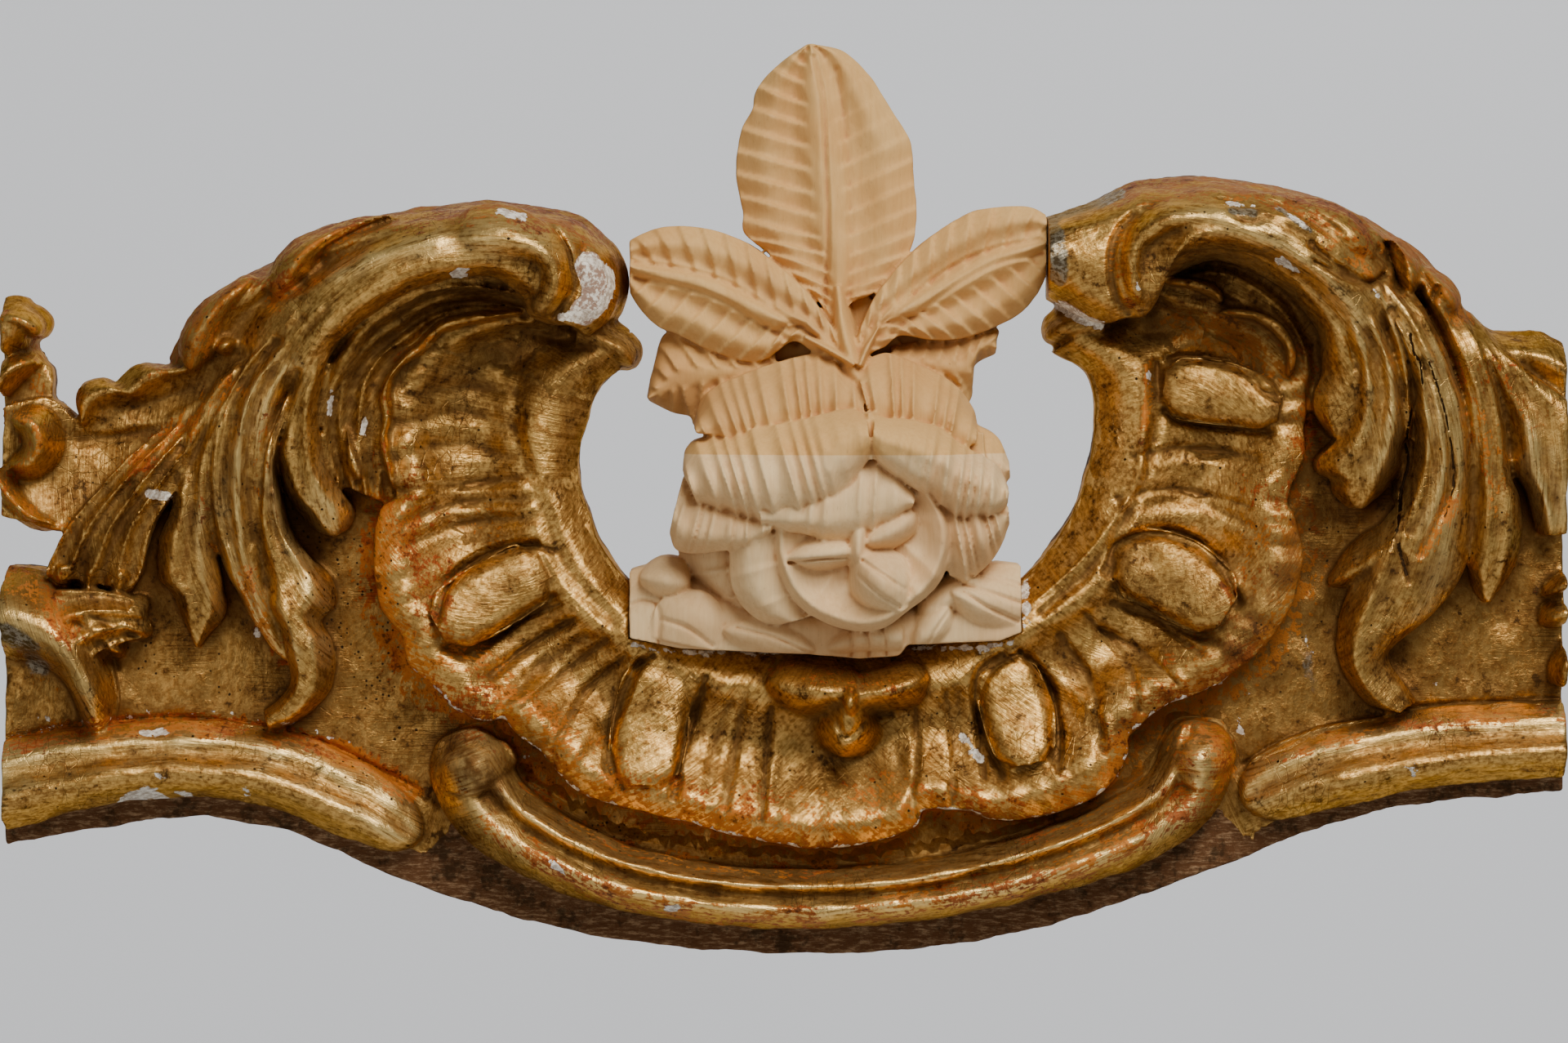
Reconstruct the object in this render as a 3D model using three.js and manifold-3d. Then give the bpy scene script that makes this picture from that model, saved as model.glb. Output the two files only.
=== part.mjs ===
// Carved headpiece: one carved and gilded crest, and the new limewood flower set into its sawn notch.
// Millimetres. X runs to the right, Z up and the front faces -Y. The flat back is the plane y = 0.
// Heights are counted from that back towards the front.
import * as THREE from "three";
import { mergeVertices } from "three/addons/utils/BufferGeometryUtils.js";
import Module from "manifold-3d";

const wasm = await Module();
wasm.setup();

// The main sizes: the length shown between the square ends, and the depth of the rose in front of the back.
const WIDTH = 393.6;
const DEPTH = 58;

// The front is laid out on a drawing grid, x to the right and y down, so a point reads [x, y].
// The grid has 1920 steps across the width, and heights are counted in 58ths of the depth.
const STEPS_ACROSS = 1920;
const STEPS_DEEP = 58;
const ORIGIN_X = 1010;
const ORIGIN_Y = 950;
const GRID = WIDTH / STEPS_ACROSS;
const RISE = DEPTH / STEPS_DEEP;

// Heights above the back that many forms share.
const RAIL = 16;
const FIELD = 15;
const BEHIND = -3;
const FLOWER_BACK = 5;

// The steps that a carved form is cut into on the drawing: their length, their length in the shell's frill,
// and the fewest that a form has.
const STEP_LENGTH = 76;
const FRILL_STEP = 60;
const FEWEST_STEPS = 3;

// Heights across a form from one side to the other, as shares of its rise from edge to crown.
const ROUND = [0, 0.72, 1, 0.72, 0];
const FLAT = [1, 1];
const PAD = [0, 0.75, 1, 1, 0.75, 0];
const RIM = [0, 1, 0];
const MOULDING = [0, 0.8, 1, 0.62, 0.56, 0];
const LIPPED = [0, 0.75, 1, 0.74, 0.98, 0.15];

function place(x, y, height) {
  return new THREE.Vector3((x - ORIGIN_X) * GRID, -height * RISE, (ORIGIN_Y - y) * GRID);
}

// A smooth line through points of the drawing.
function line(points) {
  const corners = points.map(([x, y]) => new THREE.Vector3(x, y, 0));
  return new THREE.CatmullRomCurve3(corners, false, "catmullrom", 0.5);
}

// The place at a share of a line's whole length.
function along(curve, share) {
  return curve.getPointAt(THREE.MathUtils.clamp(share, 0, 1));
}

// How many steps a line is cut into.
function stepsFor(curve, step = STEP_LENGTH) {
  return Math.max(FEWEST_STEPS, Math.round(curve.getLength() / step));
}

// The value at a share of the way through a short list, or the one value given.
function between(values, share) {
  if (!Array.isArray(values)) return values;
  const at = THREE.MathUtils.clamp(share, 0, 1) * (values.length - 1);
  const first = Math.min(values.length - 2, Math.floor(at));
  return THREE.MathUtils.lerp(values[first], values[first + 1], at - first);
}

// How far a rounded end has opened at a share of the length, and never less than the blunt share.
function tip(share, [start, end], blunt) {
  let open = 1;
  if (share < start) open = Math.sqrt(1 - ((start - share) / start) ** 2);
  if (share > 1 - end) open = Math.sqrt(1 - ((share - 1 + end) / end) ** 2);
  return Math.max(blunt, open);
}

// A closed geometry as a solid, turned round when its faces point inwards.
function solid(geometry) {
  geometry.deleteAttribute("normal");
  geometry.deleteAttribute("uv");
  const merged = mergeVertices(geometry, 1e-3);
  const faces = new Uint32Array(merged.index.array);
  const corners = merged.attributes.position.array;
  let inward = 0;
  const a = new THREE.Vector3();
  const b = new THREE.Vector3();
  const c = new THREE.Vector3();
  for (let i = 0; i < faces.length; i += 3) {
    a.fromArray(corners, 3 * faces[i]);
    b.fromArray(corners, 3 * faces[i + 1]);
    c.fromArray(corners, 3 * faces[i + 2]);
    inward -= a.dot(b.cross(c));
  }
  if (inward > 0) {
    for (let i = 0; i < faces.length; i += 3) {
      [faces[i + 1], faces[i + 2]] = [faces[i + 2], faces[i + 1]];
    }
  }
  const mesh = new wasm.Mesh({ numProp: 3, vertProperties: corners, triVerts: faces });
  return new wasm.Manifold(mesh);
}

// A box whose top and bottom are moved to where a function of across (0..1) and along (0..1) puts them.
function shaped(across, along, at) {
  const box = new THREE.BoxGeometry(1, 1, 1, across, 1, along);
  const corner = box.attributes.position;
  for (let i = 0; i < corner.count; i++) {
    const front = corner.getY(i) > 0;
    const v = corner.getZ(i) + 0.5;
    const share = 0.55 * v + 0.45 * (1 - Math.cos(Math.PI * v)) / 2;
    const p = at(corner.getX(i) + 0.5, share, front);
    corner.setXYZ(i, p.x, p.y, p.z);
  }
  return solid(box);
}

// A long carved form: a spine with half widths, crown heights and edge heights along it.
function strand(points, half, crown, edge, options = {}) {
  const { tips = [0, 0], blunt = 0.15, across = ROUND, base = BEHIND } = options;
  const spine = line(points);
  return shaped(across.length - 1, stepsFor(spine), (side, share, front) => {
    const step = 0.01;
    const at = along(spine, share);
    const way = along(spine, share + step).sub(along(spine, share - step)).normalize();
    const open = tip(share, tips, blunt);
    const out = (2 * side - 1) * between(half, share) * open;
    const low = between(edge, share);
    const rise = between(across, side) * (between(crown, share) - low) * Math.sqrt(open);
    return place(at.x + way.y * out, at.y - way.x * out, front ? low + rise : base);
  });
}

// A carved sheet between two edges, with rows of heights from the first edge to the second.
function sheet(first, second, heights, { base = BEHIND, step = STEP_LENGTH } = {}) {
  const one = line(first);
  const other = line(second);
  const steps = Math.max(stepsFor(one, step), stepsFor(other, step));
  return shaped(heights.length - 1, steps, (side, share, front) => {
    const at = along(one, share).lerp(along(other, share), side);
    const rows = heights.map((row) => between(row, share));
    return place(at.x, at.y, front ? between(rows, side) : base);
  });
}

// A flat slab with the outline of a polygon, from one height to another.
function slab(points, low, high) {
  const outline = new THREE.Shape(points.map(([x, y]) => {
    const p = place(x, y, 0);
    return new THREE.Vector2(p.x, p.z);
  }));
  const deep = (high - low) * RISE;
  const body = new THREE.ExtrudeGeometry(outline, { depth: deep, bevelEnabled: false, steps: 1 });
  body.rotateX(Math.PI / 2);
  body.translate(0, -low * RISE, 0);
  return solid(body);
}

const crest = [];

// The rail behind everything, with the rough tacking margin under the mouldings.
// The plain fields between the leaves, the ground under the shell and the hollows under the arm ends.
crest.push(
  strand(
    [[-8, 990], [120, 966], [250, 955], [380, 980], [520, 1040], [700, 1094], [860, 1118], [1030, 1124],
      [1200, 1106], [1350, 1066], [1500, 1012], [1620, 965], [1760, 935], [1928, 922]],
    50,
    RAIL,
    RAIL,
    { across: FLAT },
  ),
  slab(
    [[330, 400], [500, 440], [500, 600], [500, 760], [580, 880], [700, 960], [700, 1060], [520, 1010],
      [380, 940], [250, 905], [60, 915], [-8, 925], [-8, 775], [60, 730], [90, 640], [130, 560],
      [220, 470]],
    BEHIND,
    FIELD,
  ),
  slab(
    [[1540, 400], [1650, 320], [1730, 350], [1810, 408], [1880, 420], [1928, 430], [1928, 900],
      [1780, 905], [1640, 930], [1520, 990], [1400, 1000], [1400, 900], [1520, 800], [1560, 640]],
    BEHIND,
    FIELD,
  ),
  slab(
    [[560, 840], [760, 900], [1000, 930], [1300, 900], [1480, 820], [1460, 1000], [1250, 1070],
      [1000, 1100], [750, 1070], [590, 980]],
    BEHIND,
    RAIL,
  ),
  slab(
    [[300, 430], [400, 345], [540, 290], [690, 292], [746, 350], [752, 424], [700, 460], [560, 470],
      [450, 520]],
    BEHIND,
    FIELD,
  ),
  slab(
    [[1300, 330], [1400, 262], [1560, 262], [1680, 320], [1750, 390], [1700, 480], [1560, 500],
      [1400, 470], [1292, 424]],
    BEHIND,
    FIELD,
  ),
);

// The mouldings that run off to the left and right, each with a fillet above a half round.
// Between them is the lower scroll, with a lip along its upper edge and a volute at each end.
crest.push(
  strand(
    [[-8, 966], [110, 942], [230, 932], [340, 946], [430, 985], [512, 1030]],
    [54, 50, 47, 47, 46, 34],
    [33, 33, 33, 33, 32, 26],
    20,
    { tips: [0, 0.1], across: MOULDING },
  ),
  strand(
    [[1524, 985], [1590, 955], [1680, 932], [1780, 916], [1928, 906]],
    [36, 50, 48, 47, 46],
    [26, 33, 33, 33, 33],
    20,
    { tips: [0.1, 0], across: MOULDING },
  ),
  strand(
    [[580, 895], [576, 945], [600, 992], [660, 1036], [750, 1074], [870, 1098], [1000, 1104], [1130, 1094],
      [1260, 1066], [1365, 1030], [1440, 985], [1466, 935], [1462, 884]],
    [50, 49, 44, 40, 37, 36, 36, 36, 37, 39, 43, 45, 45],
    [30, 34, 36, 37, 37, 37, 37, 37, 37, 37, 36, 34, 30],
    22,
    { tips: [0.045, 0.04], across: LIPPED },
  ),
  strand([[594, 914], [574, 938], [572, 976]], [32, 42, 42], [34, 37, 36], 22, { tips: [0.35, 0.1] }),
  strand([[1478, 900], [1474, 930], [1462, 968]], [32, 40, 40], [33, 36, 36], 22, { tips: [0.3, 0.1] }),
);

// The shell round the opening: a smooth band at the opening, a ribbed trough and the ruffled frill.
const SHELL_INNER = [[782, 430], [730, 482], [707, 560], [716, 620], [740, 675], [790, 735], [880, 785],
  [1010, 800], [1130, 785], [1220, 735], [1284, 679], [1326, 605], [1342, 530], [1336, 462], [1290, 432]];
const SHELL_OUTER = [[640, 388], [590, 392], [545, 402], [520, 420], [490, 446], [474, 480], [472, 530],
  [476, 575], [484, 607], [464, 627], [458, 675], [464, 740], [492, 780], [500, 816], [536, 844],
  [557, 868], [593, 884], [617, 880], [633, 900], [665, 924], [701, 965], [745, 985], [800, 997],
  [850, 1010], [930, 1030], [1010, 1040], [1085, 1029], [1122, 1012], [1132, 993], [1180, 993],
  [1221, 1006], [1268, 1002], [1316, 989], [1364, 958], [1381, 924], [1381, 904], [1401, 883], [1432, 863],
  [1486, 843], [1513, 822], [1554, 788], [1575, 754], [1592, 713], [1595, 672], [1585, 632], [1578, 615],
  [1588, 584], [1598, 557], [1600, 500], [1596, 450], [1575, 410], [1510, 376], [1430, 345]];
const SHELL_ROWS = [[17, 17, 17, 17, 17], [23, 24, 24, 24, 23], [24, 26, 26, 26, 24], [20, 22, 22, 22, 20],
  [16, 19, 20, 20, 16], [16, 20, 22, 21, 15], [18, 25, 27, 26, 15], [24, 30, 31, 30, 20],
  [24, 27, 28, 27, 20]];
crest.push(
  sheet(SHELL_INNER, SHELL_OUTER, SHELL_ROWS, { step: FRILL_STEP }),
  strand(
    [[641, 382], [611, 386], [575, 391], [544, 399], [527, 413], [516, 426], [496, 440], [477, 463],
      [471, 486], [474, 510], [469, 537], [476, 573], [482, 600]],
    [5, 7, 8, 9, 9, 9, 9, 10, 10, 9, 10, 9, 6],
    [30, 33, 34, 34, 34, 33, 34, 34, 33, 32, 31, 30, 28],
    22,
    { tips: [0.05, 0.05], across: RIM },
  ),
  strand(
    [[1424, 344], [1459, 347], [1485, 356], [1498, 370]],
    [5, 7, 8, 6],
    [30, 33, 33, 29],
    20,
    { tips: [0.1, 0.15], across: RIM },
  ),
  strand(
    [[1494, 382], [1512, 383], [1536, 386], [1560, 399], [1577, 420], [1582, 444], [1576, 464]],
    [5, 7, 8, 9, 9, 9, 7],
    [27, 31, 33, 34, 33, 31, 28],
    20,
    { tips: [0.08, 0.1], across: RIM },
  ),
  strand([[706, 408], [752, 424], [776, 450]], [36, 28, 20], [25, 26, 24], 9, { tips: [0, 0.3] }),
  strand([[1352, 396], [1308, 402], [1280, 416]], [36, 28, 18], [25, 26, 23], 9, { tips: [0, 0.3] }),
);
const PADS = [
  {
    points: [[536, 768], [600, 731], [664, 694]],
    half: [37, 43, 40],
    crown: [34, 31, 28],
    edge: [30, 26.5, 24],
  },
  {
    points: [[808, 816], [796, 886], [788, 962]],
    half: [42, 48, 42],
    crown: [27, 29, 34],
    edge: [23.5, 25, 30],
  },
  {
    points: [[1228, 810], [1246, 874], [1260, 936]],
    half: [36, 44, 36],
    crown: [27, 29, 34],
    edge: [23.5, 25, 30],
  },
  {
    points: [[1372, 688], [1436, 706], [1502, 750]],
    half: [43, 51, 42],
    crown: [28, 31, 35],
    edge: [24, 26, 31],
  },
  {
    points: [[1426, 474], [1498, 482], [1568, 500]],
    half: [37, 39, 28],
    crown: [26, 28, 31],
    edge: [23, 24.5, 27],
  },
];
for (const pad of PADS) {
  const shape = { tips: [0.16, 0.16], blunt: 0.62, across: PAD };
  crest.push(strand(pad.points, pad.half, pad.crown, pad.edge, shape));
}

// The small bud on the shell under the flower.
crest.push(
  strand([[1046, 846], [990, 844], [936, 834]], [32, 40, 28], [41, 41, 34], 20, { tips: [0, 0.25] }),
  strand([[1046, 850], [1096, 842], [1138, 830]], [28, 32, 34], [40, 41, 36], 20, { tips: [0, 0.25] }),
  strand([[1038, 860], [1036, 896], [1030, 932]], [30, 46, 24], [40, 38, 31], 20, { tips: [0, 0.25] }),
  strand([[1041, 836], [1041, 856], [1041, 876]], [10, 15, 10], [42, 47, 43], 34, { tips: [0.35, 0.35] }),
);

// The left arm: its back and front run from the outline to the lip over the hollow.
// It curls under at one end, and the fluted hollow and the tongue lie below it.
crest.push(
  sheet(
    [[722, 415], [749, 395], [764, 371], [768, 340], [757, 310], [741, 290], [714, 268], [674, 256],
      [610, 247], [540, 250], [462, 264], [385, 291], [310, 330], [259, 363], [219, 407], [200, 440]],
    [[700, 398], [668, 395], [648, 386], [641, 363], [620, 346], [595, 338], [560, 338], [516, 351],
      [476, 371], [437, 399], [413, 424], [397, 454], [390, 486], [388, 520]],
    [[10, 10, 10, 10, 10, 10, 10, 10, 10], [28, 34, 37, 38, 38, 37, 34, 30, 24],
      [34, 40, 45, 48, 46, 38, 32, 29, 24], [36, 41, 49, 52, 52, 48, 42, 36, 25],
      [38, 43, 50, 54, 53, 50, 46, 40, 26], [40, 44, 51, 54, 54, 52, 49, 43, 28],
      [40, 44, 50, 53, 53, 52, 50, 45, 30], [30, 38, 43, 46, 46, 45, 44, 41, 28]],
  ),
  strand(
    [[548, 296], [620, 292], [666, 308], [682, 338], [674, 366], [656, 384]],
    [40, 42, 38, 28, 22, 13],
    [55, 55.5, 55, 53, 50, 45],
    40,
    { tips: [0.3, 0.06] },
  ),
  strand(
    [[480, 262], [430, 278], [385, 306], [352, 342], [335, 374]],
    [6, 10, 20, 30, 26],
    [40, 41, 42, 41, 37],
    30,
    { tips: [0, 0.2] },
  ),
  strand(
    [[312, 340], [270, 375], [244, 415], [231, 458]],
    [8, 16, 24, 22],
    [36, 36, 36, 34],
    26,
    { tips: [0, 0.2] },
  ),
  strand([[264, 428], [277, 423], [291, 415]], [8, 13, 8], [35, 38, 35], 28, { tips: [0.4, 0.4] }),
  sheet(
    [[650, 368], [620, 356], [560, 350], [516, 362], [476, 384], [440, 410], [412, 438], [398, 470],
      [394, 510], [400, 550], [416, 596]],
    [[650, 396], [611, 396], [575, 400], [540, 410], [515, 434], [490, 452], [476, 484], [474, 520],
      [472, 560], [474, 590], [470, 616]],
    [[22, 22, 23, 24, 24, 22], [23, 25, 27, 28, 28, 24], [24, 27, 29, 30, 29, 25],
      [24, 26, 27, 27, 26, 22]],
  ),
  strand([[424, 520], [430, 556], [442, 588]], [6, 11, 12], [30, 32, 31], 20, { tips: [0.2, 0.15] }),
  sheet(
    [[380, 430], [352, 490], [338, 541], [338, 565], [345, 597], [372, 628], [394, 649], [408, 656]],
    [[400, 446], [391, 486], [389, 515], [392, 544], [401, 580], [419, 605], [428, 628], [412, 656]],
    [[36, 32, 28, 25, 23, 20], [43, 41, 40, 39, 37, 31], [44, 43, 41, 40, 38, 31],
      [45, 44, 43, 42, 38, 31], [38, 38, 37, 35, 31, 24]],
  ),
);

// The right arm, which breaks off flat towards the opening, with the ribbon and the hollow below it.
crest.push(
  sheet(
    [[1278, 266], [1316, 255], [1346, 244], [1367, 232], [1396, 221], [1438, 216], [1489, 216],
      [1544, 223], [1598, 234], [1649, 253], [1691, 274], [1733, 301], [1767, 331], [1792, 368],
      [1810, 392]],
    [[1278, 362], [1300, 374], [1330, 390], [1356, 396], [1378, 388], [1402, 386], [1418, 362],
      [1424, 332], [1447, 312], [1480, 305], [1514, 307], [1548, 316], [1581, 335], [1607, 356],
      [1632, 385], [1649, 423], [1655, 455]],
    [[14, 10, 10, 10, 10, 10, 10, 10, 10], [34, 36, 37, 38, 38, 37, 34, 30, 22],
      [40, 41, 43, 46, 44, 40, 35, 29, 22], [42, 43, 46, 52, 52, 49, 42, 34, 23],
      [42, 43, 47, 53, 53, 51, 46, 39, 26], [39, 42, 46, 53, 54, 52, 49, 44, 30],
      [34, 40, 44, 49, 51, 51, 50, 46, 34], [18, 32, 38, 43, 45, 45, 44, 42, 34]],
  ),
  strand(
    [[1546, 286], [1480, 268], [1428, 270], [1396, 290], [1384, 322], [1388, 352], [1396, 372]],
    [34, 35, 32, 27, 25, 22, 16],
    [54.5, 55, 54, 53, 51, 49, 45],
    38,
    { tips: [0.25, 0.08] },
  ),
  strand(
    [[1548, 240], [1600, 266], [1646, 300], [1668, 324]],
    [6, 18, 26, 20],
    [41, 44, 43, 39],
    30,
    { tips: [0.05, 0.2] },
  ),
  strand([[1690, 290], [1712, 320], [1722, 348]], [14, 18, 14], [36, 38, 36], 26, { tips: [0.1, 0.25] }),
  strand([[1726, 316], [1760, 350], [1776, 386]], [10, 20, 17], [32, 35, 33], 22, { tips: [0.1, 0.25] }),
  sheet(
    [[1420, 318], [1480, 300], [1548, 312], [1600, 350], [1636, 400], [1655, 455], [1655, 490],
      [1640, 536]],
    [[1424, 342], [1480, 320], [1540, 334], [1585, 368], [1611, 402], [1619, 452], [1610, 486],
      [1614, 512], [1630, 534]],
    [[40, 43, 44, 42, 40, 34], [40, 42, 43, 41, 39, 33], [36, 38, 39, 37, 36, 32],
      [28, 32, 34, 32, 31, 26]],
  ),
  sheet(
    [[1424, 332], [1500, 316], [1560, 340], [1600, 390], [1620, 455], [1606, 504]],
    [[1426, 352], [1484, 362], [1535, 392], [1572, 424], [1578, 452], [1573, 504]],
    [[20, 22, 22, 20], [22, 24, 25, 22], [20, 21, 22, 20]],
  ),
  sheet(
    [[1690, 390], [1714, 450], [1724, 510], [1721, 556], [1712, 576], [1698, 591], [1676, 612],
      [1662, 620]],
    [[1632, 385], [1649, 423], [1655, 455], [1655, 486], [1649, 516], [1636, 541], [1617, 566],
      [1620, 578], [1634, 590], [1644, 610], [1656, 620]],
    [[36, 32, 28, 25, 23, 20], [44, 43, 42, 40, 36, 30], [42, 41, 40, 39, 36, 30],
      [45, 44, 43, 41, 37, 30], [40, 38, 36, 34, 30, 24]],
  ),
);

// The leaves that fall from the left arm, from the longest by the shell to the outermost.
crest.push(
  sheet(
    [[420, 325], [350, 388], [300, 440], [264, 500], [251, 560], [253, 620], [268, 680], [296, 740],
      [325, 790], [346, 808]],
    [[470, 355], [405, 415], [356, 466], [340, 520], [335, 580], [330, 640], [326, 690], [334, 740],
      [344, 780], [350, 806]],
    [[22, 32, 30, 28, 26, 24, 20], [28, 40, 38, 36, 34, 31, 25], [32, 41, 38, 36, 34, 31, 25],
      [34, 44, 43, 40, 37, 33, 26], [34, 43, 41, 38, 35, 32, 26], [34, 44, 42, 38, 34, 31, 25],
      [30, 40, 37, 32, 28, 25, 20]],
  ),
  sheet(
    [[372, 440], [334, 530], [316, 600], [311, 660], [321, 730], [344, 790], [354, 825], [345, 851],
      [322, 873]],
    [[385, 450], [342, 545], [342, 603], [358, 658], [385, 691], [405, 714], [408, 741], [392, 762],
      [404, 785], [408, 806], [403, 840], [386, 867], [358, 888], [328, 897]],
    [[26, 34, 32, 29, 26, 24, 22, 20], [32, 41, 40, 38, 36, 36, 34, 28], [34, 40, 38, 36, 36, 37, 35, 29],
      [34, 40, 39, 37, 36, 36, 34, 28], [28, 30, 28, 27, 27, 27, 25, 21]],
  ),
  sheet(
    [[330, 400], [255, 480], [214, 556], [210, 620], [196, 655], [190, 706], [208, 728], [224, 768],
      [238, 794]],
    [[360, 425], [290, 496], [264, 560], [260, 620], [263, 680], [271, 720], [273, 750], [255, 774],
      [240, 795]],
    [[24, 30, 27, 24, 22, 20], [28, 35, 32, 31, 30, 25], [30, 34, 31, 30, 29, 25],
      [30, 37, 34, 32, 30, 25], [28, 34, 31, 28, 25, 20]],
  ),
  strand(
    [[250, 520], [200, 585], [166, 650], [145, 716]],
    [16, 24, 24, 16],
    [26, 34, 34, 30],
    16,
    { tips: [0, 0.1] },
  ),
  strand(
    [[235, 515], [170, 590], [132, 650], [112, 704]],
    [16, 24, 26, 20],
    [25, 32, 32, 29],
    14,
    { tips: [0, 0.1] },
  ),
  strand(
    [[215, 515], [140, 585], [98, 640], [78, 708]],
    [16, 26, 30, 22],
    [24, 30, 31, 28],
    12,
    { tips: [0, 0.1] },
  ),
  sheet(
    [[372, 378], [308, 434], [232, 492], [152, 520], [100, 520], [63, 490], [30, 490], [-8, 500]],
    [[400, 400], [330, 500], [255, 572], [186, 612], [120, 640], [69, 650], [30, 640], [-8, 628]],
    [[24, 30, 27, 22, 20, 22, 24], [28, 35, 31, 25, 20, 20, 22], [30, 37, 34, 28, 22, 20, 22],
      [28, 34, 31, 28, 24, 22, 24], [24, 28, 26, 24, 24, 26, 26]],
  ),
  strand(
    [[12, 512], [42, 520], [50, 545], [36, 566], [10, 572]],
    [16, 24, 26, 22, 16],
    [35, 38, 38, 36, 32],
    22,
    { tips: [0.15, 0.15] },
  ),
  strand(
    [[-8, 575], [8, 604], [34, 630], [70, 644]],
    [26, 20, 15, 8],
    [35, 34, 32, 28],
    16,
    { tips: [0, 0.1] },
  ),
  sheet(
    [[206, 448], [184, 447], [171, 445], [156, 449], [145, 460], [137, 470], [122, 464], [106, 466],
      [92, 474], [87, 490], [94, 518]],
    [[290, 462], [250, 492], [214, 508], [171, 522], [128, 530], [104, 528]],
    [[18, 18, 18, 18], [28, 28, 27, 25], [25, 23, 22, 23], [24, 22, 20, 20], [26, 24, 22, 20]],
  ),
  strand([[-8, 420], [20, 392], [38, 388]], [44, 40, 14], [30, 31, 29], 12, { tips: [0, 0.2] }),
  strand(
    [[-8, 396], [14, 390], [34, 396], [50, 412]],
    [20, 20, 20, 14],
    [30, 33, 33, 30],
    12,
    { tips: [0, 0.2] },
  ),
  strand(
    [[-8, 474], [14, 452], [34, 444], [50, 446]],
    [26, 24, 20, 10],
    [34, 34, 32, 28],
    12,
    { tips: [0, 0.2] },
  ),
  slab([[-8, 430], [40, 430], [58, 452], [60, 490], [90, 520], [60, 560], [-8, 560]], BEHIND, 18),
  strand(
    [[-8, 750], [44, 762], [84, 796], [106, 838], [114, 872], [112, 900]],
    [58, 60, 50, 36, 30, 24],
    [36, 39, 39, 37, 34, 28],
    14,
    { tips: [0, 0.1] },
  ),
  strand([[80, 742], [130, 752], [178, 766]], [34, 32, 24], [34, 33, 29], 14, { tips: [0, 0.12] }),
  strand([[90, 780], [124, 786], [148, 800]], [24, 22, 14], [35, 33, 28], 14, { tips: [0, 0.2] }),
);

// The leaves that fall from the right arm.
crest.push(
  sheet(
    [[1640, 320], [1692, 385], [1718, 440], [1730, 500], [1731, 560], [1718, 610], [1690, 650],
      [1668, 690], [1652, 732], [1641, 775], [1643, 812], [1661, 843], [1684, 866], [1708, 874]],
    [[1690, 310], [1740, 375], [1768, 430], [1792, 500], [1802, 560], [1802, 620], [1798, 680],
      [1780, 722], [1752, 755], [1720, 780], [1703, 800], [1708, 820], [1726, 845], [1738, 862]],
    [[26, 34, 32, 30, 28, 26, 24, 20], [32, 43, 42, 40, 38, 37, 35, 29], [34, 42, 41, 39, 37, 36, 35, 30],
      [34, 44, 43, 41, 38, 36, 34, 29], [32, 41, 40, 38, 36, 34, 32, 28], [28, 40, 39, 37, 34, 32, 30, 27],
      [22, 36, 34, 31, 28, 27, 25, 22]],
  ),
  strand([[1722, 655], [1675, 688], [1630, 716]], [26, 26, 13], [39, 35, 28], 18, { tips: [0, 0.25] }),
  sheet(
    [[1736, 350], [1778, 430], [1801, 500], [1806, 560], [1806, 620], [1800, 680], [1808, 722],
      [1820, 738]],
    [[1776, 345], [1814, 420], [1840, 500], [1849, 570], [1862, 612], [1865, 655], [1855, 698],
      [1828, 738]],
    [[24, 34, 32, 30, 27, 20], [28, 38, 36, 34, 33, 26], [28, 37, 35, 33, 32, 26],
      [26, 37, 36, 34, 32, 26], [20, 32, 30, 28, 25, 20]],
  ),
  sheet(
    [[1780, 372], [1818, 450], [1847, 536], [1850, 572], [1868, 598], [1881, 632], [1886, 656]],
    [[1806, 384], [1856, 440], [1928, 500], [1934, 550], [1934, 600], [1934, 640], [1930, 652]],
    [[22, 30, 28, 26, 24, 20], [25, 35, 34, 34, 33, 28], [24, 33, 32, 32, 31, 27],
      [23, 33, 33, 33, 32, 28], [20, 28, 30, 31, 30, 26]],
  ),
  sheet(
    [[1786, 360], [1808, 390], [1830, 404], [1859, 406], [1885, 405], [1901, 410], [1928, 426]],
    [[1796, 400], [1820, 450], [1862, 480], [1928, 508]],
    [[14, 14, 14, 14], [28, 29, 28, 27], [27, 25, 24, 24], [26, 23, 22, 22]],
  ),
  strand([[1932, 706], [1908, 722], [1891, 730]], [14, 15, 8], [33, 31, 26], 14, { tips: [0, 0.3] }),
  strand([[1932, 748], [1908, 754], [1889, 764]], [24, 20, 12], [34, 32, 27], 14, { tips: [0, 0.3] }),
  strand([[1934, 796], [1918, 818], [1914, 846]], [22, 18, 16], [34, 33, 28], 14, { tips: [0, 0.2] }),
);

const flower = [];

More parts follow.
